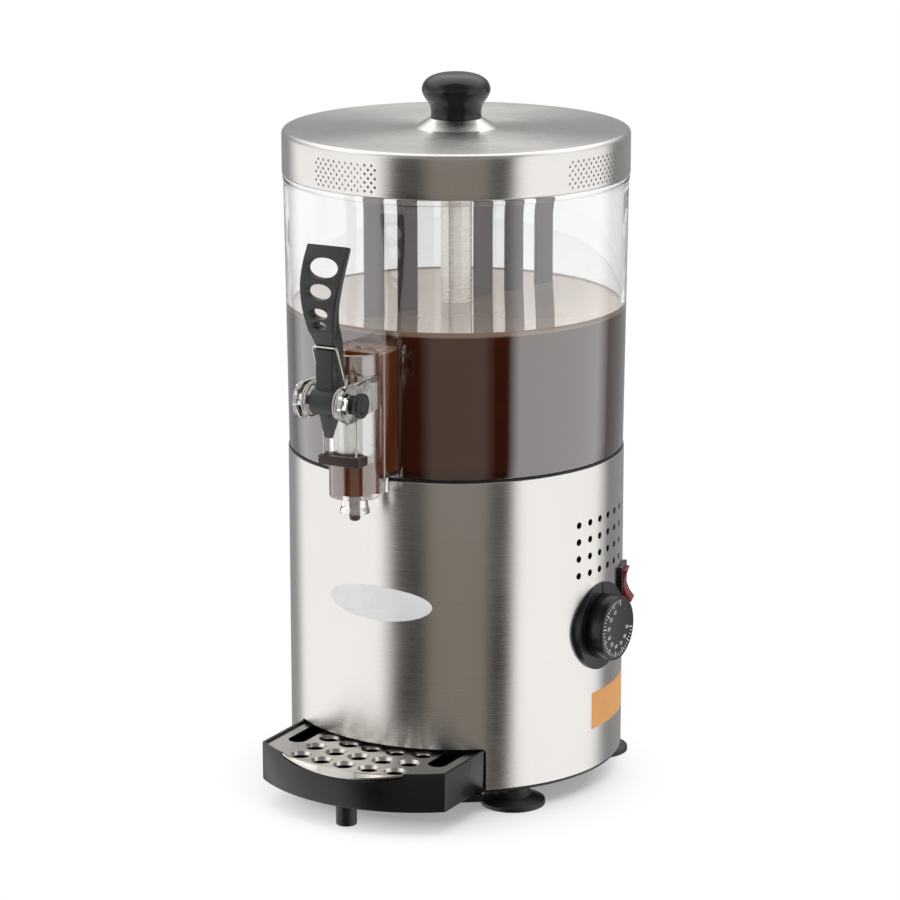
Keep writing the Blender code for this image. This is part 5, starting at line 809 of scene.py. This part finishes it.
# Plunger: a drawn steel cup in the chamber, with a pocket for the lever's bead, a brown seal under it,
# and a brown rubber tip whose valve shuts the bore and whose end shows below the nozzle.
PLUNGER_LOW, PLUNGER_HIGH, PLUNGER_RADIUS, PLUNGER_WALL = 0.241, 0.287, 0.0132, 0.0012
SPIGOT, SPIGOT_TOP, SPIGOT_BORE = 0.0057, 0.2525, 0.0033
plunger = turned("plunger", rounded([
    (SPIGOT_BORE, PLUNGER_LOW), (PLUNGER_RADIUS, PLUNGER_LOW, 0.0006), (PLUNGER_RADIUS, PLUNGER_HIGH, 0.0004),
    (PLUNGER_RADIUS - PLUNGER_WALL, PLUNGER_HIGH, 0.0004),
    (PLUNGER_RADIUS - PLUNGER_WALL, PLUNGER_LOW + PLUNGER_WALL), (SPIGOT, PLUNGER_LOW + PLUNGER_WALL),
    (SPIGOT, SPIGOT_TOP), (0, SPIGOT_TOP), (0, SPIGOT_TOP - PLUNGER_WALL),
    (SPIGOT_BORE, SPIGOT_TOP - PLUNGER_WALL)]), CHAMBER, 96)
cut(plunger, box("pocket", (-0.0032, -0.0152, 0.2748), (0.0032, -0.0052, 0.2832), CHAMBER))
drawn_steel = steel("drawn_steel", (0.74, 0.72, 0.69), (40.0, 40.0, 1400.0), anisotropic=0.4)
dress(plunger, "plunger", "stainless", drawn_steel, "tap_plunger")
seal = turned("seal", rounded([
    (SPIGOT_BORE, 0.2365), (0.0118, 0.2365, 0.0003), (PLUNGER_RADIUS, 0.2379, 0.0004),
    (PLUNGER_RADIUS, 0.2407, 0.0003), (SPIGOT_BORE, 0.2407)]), CHAMBER, 96)
dress(seal, "plunger", "brown_plastic", brown_silicone, "plunger_seal")
tip = turned("tip", rounded([
    (0, 0.197), (0.0026, 0.197, 0.0006), (0.0035, 0.1982, 0.0006), (0.0035, 0.2163), (0.008, 0.2163, 0.0004),
    (0.008, 0.219, 0.0008), (0.0035, 0.2217, 0.0015), (0.0035, 0.2342), (0.0065, 0.2342), (0.0065, 0.2362),
    (0.003, 0.2362), (0.003, 0.251, 0.0006), (0, 0.251)]), CHAMBER, 48)
brown_tip = moulded("brown_tip", (0.075, 0.030, 0.018), 0.4, 1400.0, 0.1)
dress(tip, "plunger", "brown_plastic", brown_tip, "plunger_tip")

# Lid: spun stainless steel, brushed in rings on its top, with four patches of small vents in its skirt.
# Its middle rises in a low cone, and a turned black knob is screwed to it from below.
LID_RADIUS, LID_TOP, LID_EDGE, LID_SHEET, LID_FILLET = 0.1124, 0.427, 0.3989, 0.0012, 0.0032
CONE_FOOT, CONE_RADIUS, CONE_TOP, SCREW_HOLE = 0.027, 0.017, 0.4334, 0.0028
LID_VENT_RADIUS, LID_VENT_STEP, LID_VENT_ROW, LID_VENT_MIDDLE = 0.0009, math.radians(2.46), 0.0027, 0.4102
LID_VENT_PATCHES = (-10.5, 79.5, 169.5, 259.5)
KNOB_RADIUS, KNOB_LOW, KNOB_HIGH = 0.0221, 0.4337, 0.0288
corner = (LID_RADIUS - LID_FILLET, LID_TOP - LID_FILLET)
lid = turned("lid", rounded(
    [(LID_RADIUS, LID_EDGE, 0.0004), *((LID_RADIUS, z) for z in (0.404, 0.410, 0.417)),
     *arc(corner, LID_FILLET, 0, 90, 8), *((r, LID_TOP) for r in (0.100, 0.085, 0.070, 0.055, 0.040)),
     (CONE_FOOT, LID_TOP, 0.006), (CONE_RADIUS, CONE_TOP, 0.003), (SCREW_HOLE, CONE_TOP),
     (SCREW_HOLE, CONE_TOP - LID_SHEET), (0.0164, CONE_TOP - LID_SHEET, 0.003),
     (0.0264, LID_TOP - LID_SHEET, 0.006), *arc(corner, LID_FILLET - LID_SHEET, 90, 0, 6),
     (LID_RADIUS - LID_SHEET, LID_EDGE, 0.0003)]), sides=FINE_ROUND)
drills = []
for patch in LID_VENT_PATCHES:
    for row in range(7):
        holes = 11 if row % 2 else 10
        for column in range(holes):
            turn = math.radians(patch) + (column - (holes - 1) / 2) * LID_VENT_STEP
            place = on_wall(turn, LID_VENT_MIDDLE + (row - 3) * LID_VENT_ROW, LID_RADIUS)
            drills.append(bar(LID_VENT_RADIUS, -0.002, 0.001, place, 10))
cut(lid, together("drills", drills))
lid_steel = steel("lid_steel", STAINLESS, (36.0, 36.0, 3600.0), turned_top=True)
dress(lid, "lid", "stainless", lid_steel, "lid_shell")

knob_curve = run_through([(0.747, 0.0), (0.738, 0.14), (0.80, 0.30), (0.93, 0.45), (1.0, 0.61), (0.93, 0.78),
                          (0.74, 0.90), (0.44, 0.97), (0.0, 1.0)], 8)
knob = turned("knob", np.vstack((knob_curve * (KNOB_RADIUS, KNOB_HIGH) + (0, KNOB_LOW),
                                 [(0, 0.4485), (SCREW_HOLE, 0.4485), (SCREW_HOLE, KNOB_LOW)])), sides=128)
gloss_black = moulded("gloss_black", (0.006, 0.006, 0.0065), 0.16, 300.0, 0.02)
dress(knob, "lid", "gloss_black", gloss_black, "lid_knob", smooth=50)

# Thermostat: a black bezel that follows the wall, with one notch at its top, and a turning knob with a
# printed scale of ticks and numbers on its face.
BEZEL_RADIUS, BEZEL_FACE, DIAL_RADIUS, DIAL_FACE, DIAL_WALL = 0.0288, 0.0015, 0.0212, 0.0131, 0.002
WALL_FACE = 0.1103
TICKS, FIRST_TICK, TICK_STEP, TICK_END = 37, 80, 7.5, 0.0189
FIRST_NUMBER, NUMBER_STEP, NUMBER_SIZE, NUMBER_REACH, INK = 110, 30, 0.0036, 0.0120, 0.00006


def wall_inside():
    """Solid of the housing's round wall, to cut what sits on it to its curve."""
    return bar(WALL_FACE, 0.05, 0.17, sides=FINE_ROUND)


dial_place = on_wall(DIAL_AZIMUTH, DIAL_HEIGHT)
bezel = turned("bezel", rounded([
    (DIAL_BORE, -0.006), (BEZEL_RADIUS, -0.006), (BEZEL_RADIUS, BEZEL_FACE, 0.0007),
    (DIAL_BORE, BEZEL_FACE)]), dial_place, 128)
cut(bezel, wall_inside(),
    box("notch", (-0.0006, DIAL_RADIUS + 0.0006, 0.0006), (0.0006, BEZEL_RADIUS + 0.002, 0.004), dial_place))
dress(bezel, "base", "black_plastic", black_plastic, "dial_bezel")
dial_inner, dial_roof = DIAL_RADIUS - DIAL_WALL, DIAL_FACE - DIAL_WALL
dial = turned("dial", rounded([
    (dial_inner, 0.002), (DIAL_RADIUS, 0.002, 0.0003), (DIAL_RADIUS, DIAL_FACE, 0.0010), (0, DIAL_FACE),
    (0, dial_roof), (0.0033, dial_roof), (0.0033, 0.002), (0.005, 0.002), (0.005, dial_roof),
    (dial_inner, dial_roof)]), dial_place, 128)
dress(dial, "dial", "black_plastic", black_plastic, "thermostat_knob")

origin, axes = dial_place
marks = []
for k in range(TICKS):
    bearing = math.radians(FIRST_TICK + k * TICK_STEP)
    start, thick = (0.0152, 0.00036) if k % 4 == 0 else (0.0167, 0.00022)
    middle = np.array((math.cos(bearing), math.sin(bearing)))
    wide = np.array((-middle[1], middle[0])) * thick
    inner_end, outer_end = middle * start, middle * TICK_END
    corners = [inner_end - wide, outer_end - wide, outer_end + wide, inner_end + wide]
    marks.append(extruded("tick", corners, DIAL_FACE - 0.0002, DIAL_FACE + INK, dial_place))
for k in range(9):
    bearing = math.radians(FIRST_NUMBER + k * NUMBER_STEP)
    words = bpy.data.curves.new("number", "FONT")
    words.body = str(k * 10 + 10)
    words.size = NUMBER_SIZE
    words.align_x, words.align_y = "CENTER", "CENTER"
    words.extrude = INK
    carrier = bpy.data.objects.new("number", words)
    bpy.context.collection.objects.link(carrier)
    local = Vector((NUMBER_REACH * math.cos(bearing), NUMBER_REACH * math.sin(bearing), DIAL_FACE))
    flat = bpy.data.meshes.new_from_object(carrier.evaluated_get(bpy.context.evaluated_depsgraph_get()))
    bpy.data.objects.remove(carrier, do_unlink=True)
    turn = Matrix(axes.tolist()).transposed().to_4x4()
    flat.transform(Matrix.Translation(Vector(AXIS + origin)) @ turn @ Matrix.Translation(local))
    marks.append(bpy.data.objects.new("number", flat))
    bpy.context.collection.objects.link(marks[-1])
printed = moulded("printed_white", (0.75, 0.75, 0.73), 0.5, 1500.0, 0.05)
dress(together("dial_scale", marks), "dial", "white_nylon", printed)

# Switch: a black snap-in frame that follows the wall, and a red rocker that tips in it.
RIM_HALF, RIM_CORNER = (0.011, 0.015), 0.0015
ROCKER_TILT, ROCKER_HALF, ROCKER_DEEP = math.radians(9), 0.0069, 0.004
switch_place = on_wall(SWITCH_AZIMUTH, SWITCH_HEIGHT)
half_wide, half_high = RIM_HALF
switch_frame = soften(extruded("switch_rim", rounded([
    (-half_wide, -half_high, RIM_CORNER), (half_wide, -half_high, RIM_CORNER),
    (half_wide, half_high, RIM_CORNER), (-half_wide, half_high, RIM_CORNER)]),
    -0.0026, 0.0025, switch_place), 0.0006, 3, 50)
cut(switch_frame, wall_inside())
fuse(switch_frame, box("switch_body", (-0.009, -0.013, -0.022), (0.009, 0.013, 0.00125), switch_place))
cut(switch_frame, box("switch_well", (-0.0072, -0.0120, -0.0097), (0.0072, 0.0120, 0.0045), switch_place))
dress(switch_frame, "base", "black_plastic", black_plastic, "switch_frame")
along, up, out = switch_place[1]
leaned_up = up * math.cos(ROCKER_TILT) - out * math.sin(ROCKER_TILT)
leaned_out = out * math.cos(ROCKER_TILT) + up * math.sin(ROCKER_TILT)
rocker = extruded("rocker", rounded([
    (-0.0108, 0.011, 0.0008), (-0.0108, 0, 0.001), (-0.0054, -0.00378), (0.0054, -0.00378),
    (0.0108, 0, 0.001), (0.0108, 0.011, 0.0008), (0.0054, 0.0082, 0.004), (0, 0.007, 0.004),
    (-0.0054, 0.0082, 0.004)], 5), -ROCKER_HALF, ROCKER_HALF,
    (switch_place[0] - out * ROCKER_DEEP, np.array((leaned_up, leaned_out, along))))
soften(rocker, 0.0004, 2, 50)
red_plastic = moulded("red_plastic", (0.20, 0.010, 0.012), 0.25, 900.0, 0.05)
dress(rocker, "rocker", "red_plastic", red_plastic, "switch_rocker")

# Drip tray: a black moulded bowl with a bowed front and a hollow rear that slides into the housing.
# A short round leg under its front takes the weight of a full cup.
TRAY_HALF, TRAY_FRONT, TRAY_CENTRE, TRAY_REAR, TRAY_FILLET = 0.0673, 0.110, -0.0517, 0.101, 0.002
TRAY_LOW, TRAY_HIGH, TRAY_LEDGE, TRAY_FLOOR = 0.016, 0.0418, 0.0387, 0.0176
TRAY_RIM, TRAY_WALL = 0.0019, 0.0031
GRID_TOP, GRID_SHEET, LIP_WIDTH, LIP_DROP = 0.0402, 0.0012, TRAY_RIM + 0.001, 0.0056
LEG_RADIUS, LEG_TOP, LEG_FRONT = 0.0067, 0.0157, 0.147


def tray_outline(inset, steps=48):
    """Tray's outline drawn in by an inset: a bow about the front centre, its sides, and a hollow rear arc."""
    half, front, rear = TRAY_HALF - inset, TRAY_FRONT - inset, TRAY_REAR + inset
    sweep, back_sweep = math.degrees(math.asin(half / front)), math.degrees(math.asin(half / rear))
    fillet = max(TRAY_FILLET - inset, 0.0004)
    softened = []
    for run in (arc((0, TRAY_CENTRE), front, -90 - sweep, -90 + sweep, steps),
                arc((0, 0), rear, -90 + back_sweep, -90 - back_sweep, steps)):
        softened += [(*run[0], fillet), *run[2:-2], (*run[-1], fillet)]
    return rounded(softened, 6)


def lip_sheet(half, length, below, roof=None):
    """Crescent from the grid to the tray's face: at share s across, its edge drops by depth (1 - s^2)."""
    share = np.linspace(-1, 1, 49)
    x, level = half * share, np.full(49, GRID_TOP)
    near = TRAY_CENTRE - np.sqrt((TRAY_FRONT - LIP_WIDTH) ** 2 - x**2)
    far = TRAY_CENTRE - np.sqrt((TRAY_FRONT + length) ** 2 - x**2)
    edge = TRAY_HIGH - LIP_DROP * (1 - share**2)
    end = GRID_TOP + (edge - GRID_TOP) * (LIP_WIDTH + length) / LIP_WIDTH
    tops = (level, end) if roof is None else (np.full(49, roof), np.full(49, roof))
    rings = [(x, near, tops[0]), (x, far, tops[1]), (x, far, end - below), (x, near, level - below)]
    return capped("lip", np.array(rings).transpose(2, 0, 1))


layers = []
for inset, height in (
        (0.0012, TRAY_LOW), (0.0004, TRAY_LOW + 0.0003), (0.0, TRAY_LOW + 0.0012), (0.0, TRAY_HIGH - 0.0007),
        (0.0002, TRAY_HIGH - 0.0002), (0.0006, TRAY_HIGH), (0.0014, TRAY_HIGH),
        (TRAY_RIM, TRAY_HIGH - 0.0003), (TRAY_RIM, TRAY_LEDGE), (TRAY_WALL, TRAY_LEDGE),
        (TRAY_WALL, TRAY_FLOOR)):
    outline = tray_outline(inset)
    layers.append(np.column_stack((outline, np.full(len(outline), height))))
tray = stacked("tray", np.array(layers))
cut(tray, lip_sheet(0.0446, 0.002, GRID_SHEET + 0.0009, TRAY_HIGH + 0.002))
dress(tray, "tray", "black_plastic", black_plastic, "drip_tray")
leg = turned("front_leg", rounded([(0, 0), (LEG_RADIUS, 0, 0.0008), (LEG_RADIUS, LEG_TOP), (0, LEG_TOP)]),
             over(0.0, -LEG_FRONT), 64)
dress(leg, "tray", "black_rubber", black_rubber, "tray_leg")

# Drip grid: one stainless sheet dropped into the tray, with fifteen pressed drain dimples, two finger slots
# open at the rear, and a rolled crescent over the tray's front edge.
DIMPLE, DRAIN, DIP, DRAIN_PITCH = 0.0069, 0.0054, 0.0022, 0.0172
DRAIN_ROWS = (0.1494, 0.1316, 0.1138)
SLOT_AT, SLOT_END, SLOT_RADIUS, SLOT_OPEN = 0.0515, -0.1199, 0.0063, -0.067
grid = extruded("grid", tray_outline(TRAY_RIM + 0.0005), GRID_TOP - GRID_SHEET, GRID_TOP)
fuse(grid, lip_sheet(0.044, -0.0003, GRID_SHEET))
dip_low = GRID_TOP - DIP
collar = rounded([(0, dip_low), (DRAIN + 0.0007, dip_low, 0.0004),
                  (DIMPLE + 0.0001, GRID_TOP - GRID_SHEET - 0.0002, 0.0008),
                  (DIMPLE + 0.0008, GRID_TOP - 0.0009), (0, GRID_TOP - 0.0009)], 5)
drain = rounded([(0, dip_low - 0.002), (DRAIN, dip_low - 0.002), (DRAIN, dip_low + 0.0003, 0.002),
                 (DIMPLE + 0.0002, GRID_TOP, 0.0012), (DIMPLE + 0.0012, GRID_TOP + 0.0008),
                 (0, GRID_TOP + 0.0008)], 6)
collars, drains = [], []
for row_radius in DRAIN_ROWS:
    for column in range(5):
        x = (column - 2) * DRAIN_PITCH
        place = over(x, -math.sqrt(row_radius**2 - x**2))
        collars.append(turned("collar", collar, place, 40))
        drains.append(turned("drain", drain, place, 40))
fuse(grid, together("collars", collars))
slots = []
for x in (-SLOT_AT, SLOT_AT):
    slot = np.vstack((arc((x, SLOT_END), SLOT_RADIUS, 180, 360, 20),
                      [(x + SLOT_RADIUS, SLOT_OPEN), (x - SLOT_RADIUS, SLOT_OPEN)]))
    slots.append(extruded("slot", slot, 0.035, 0.045))
cut(grid, together("drains", drains), together("slots", slots))
grid_steel = steel("grid_steel", (0.66, 0.63, 0.585), (60.0, 900.0, 900.0), anisotropic=0.0)
dress(grid, "tray", "stainless", grid_steel, "drip_grid", smooth=40)

# Name plate: a plain white enamelled oval, bent to the housing and glued on under the tap. It is left bare.
PLATE_MIDDLE, PLATE_HALF = (math.radians(0.9), 0.13675), (math.radians(19.5), 0.01125)
share = np.concatenate((np.linspace(0, 0.9, 16), (0.94, 0.97, 0.99, 1.0, 1.0, 0.0)))[:, None]
proud = np.concatenate((np.full(17, 0.0005), (0.00047, 0.0004, 0.00025, -0.0002, -0.0002)))[:, None]
angle = np.linspace(0, math.tau, 160, endpoint=False)
turn = PLATE_MIDDLE[0] + PLATE_HALF[0] * share * np.cos(angle)
height = PLATE_MIDDLE[1] + PLATE_HALF[1] * share * np.sin(angle)
reach = HOUSING_RADIUS + proud
badge = surface("name_plate", np.stack((reach * np.sin(turn), -reach * np.cos(turn), height), axis=-1))
enamel = moulded("white_enamel", (0.88, 0.88, 0.875), 0.25, 400.0, 0.02, coat=0.3)
dress(badge, "base", "white_nylon", enamel)

# Label: a plain orange paper sticker low on the right side. It is left bare.
LABEL_FROM, LABEL_TO, LABEL_LOW, LABEL_HIGH = math.radians(81.6), math.radians(113.0), 0.0418, 0.0663
turn = np.linspace(LABEL_FROM, LABEL_TO, 40)[:, None]
height = np.linspace(LABEL_LOW, LABEL_HIGH, 9)
reach = np.repeat((HOUSING_RADIUS + 0.00015, HOUSING_RADIUS - 0.0001), 9)
height = np.concatenate((height, height[::-1]))
label = capped("plain_label", np.stack((reach * np.sin(turn), -reach * np.cos(turn), height + 0 * turn),
                                       axis=-1))
orange_paper = moulded("orange_paper", (0.80, 0.385, 0.115), 0.6, 2500.0, 0.1)
dress(label, "base", "white_nylon", orange_paper)

# Cable gland: a black moulded grip in the back of the housing, with a screwed nut inside.
gland = turned("gland", rounded([
    (0.0036, -0.011), (0.0065, -0.011), (0.0065, 0.0003), (0.009, 0.0003, 0.0003), (0.009, 0.0019, 0.0005),
    (0.0065, 0.0022, 0.0004), (0.0052, 0.011, 0.0012), (0.0036, 0.011, 0.0005)]),
    on_wall(math.pi, GLAND_HEIGHT), 64)
dress(gland, "base", "black_plastic", black_plastic, "cable_gland")
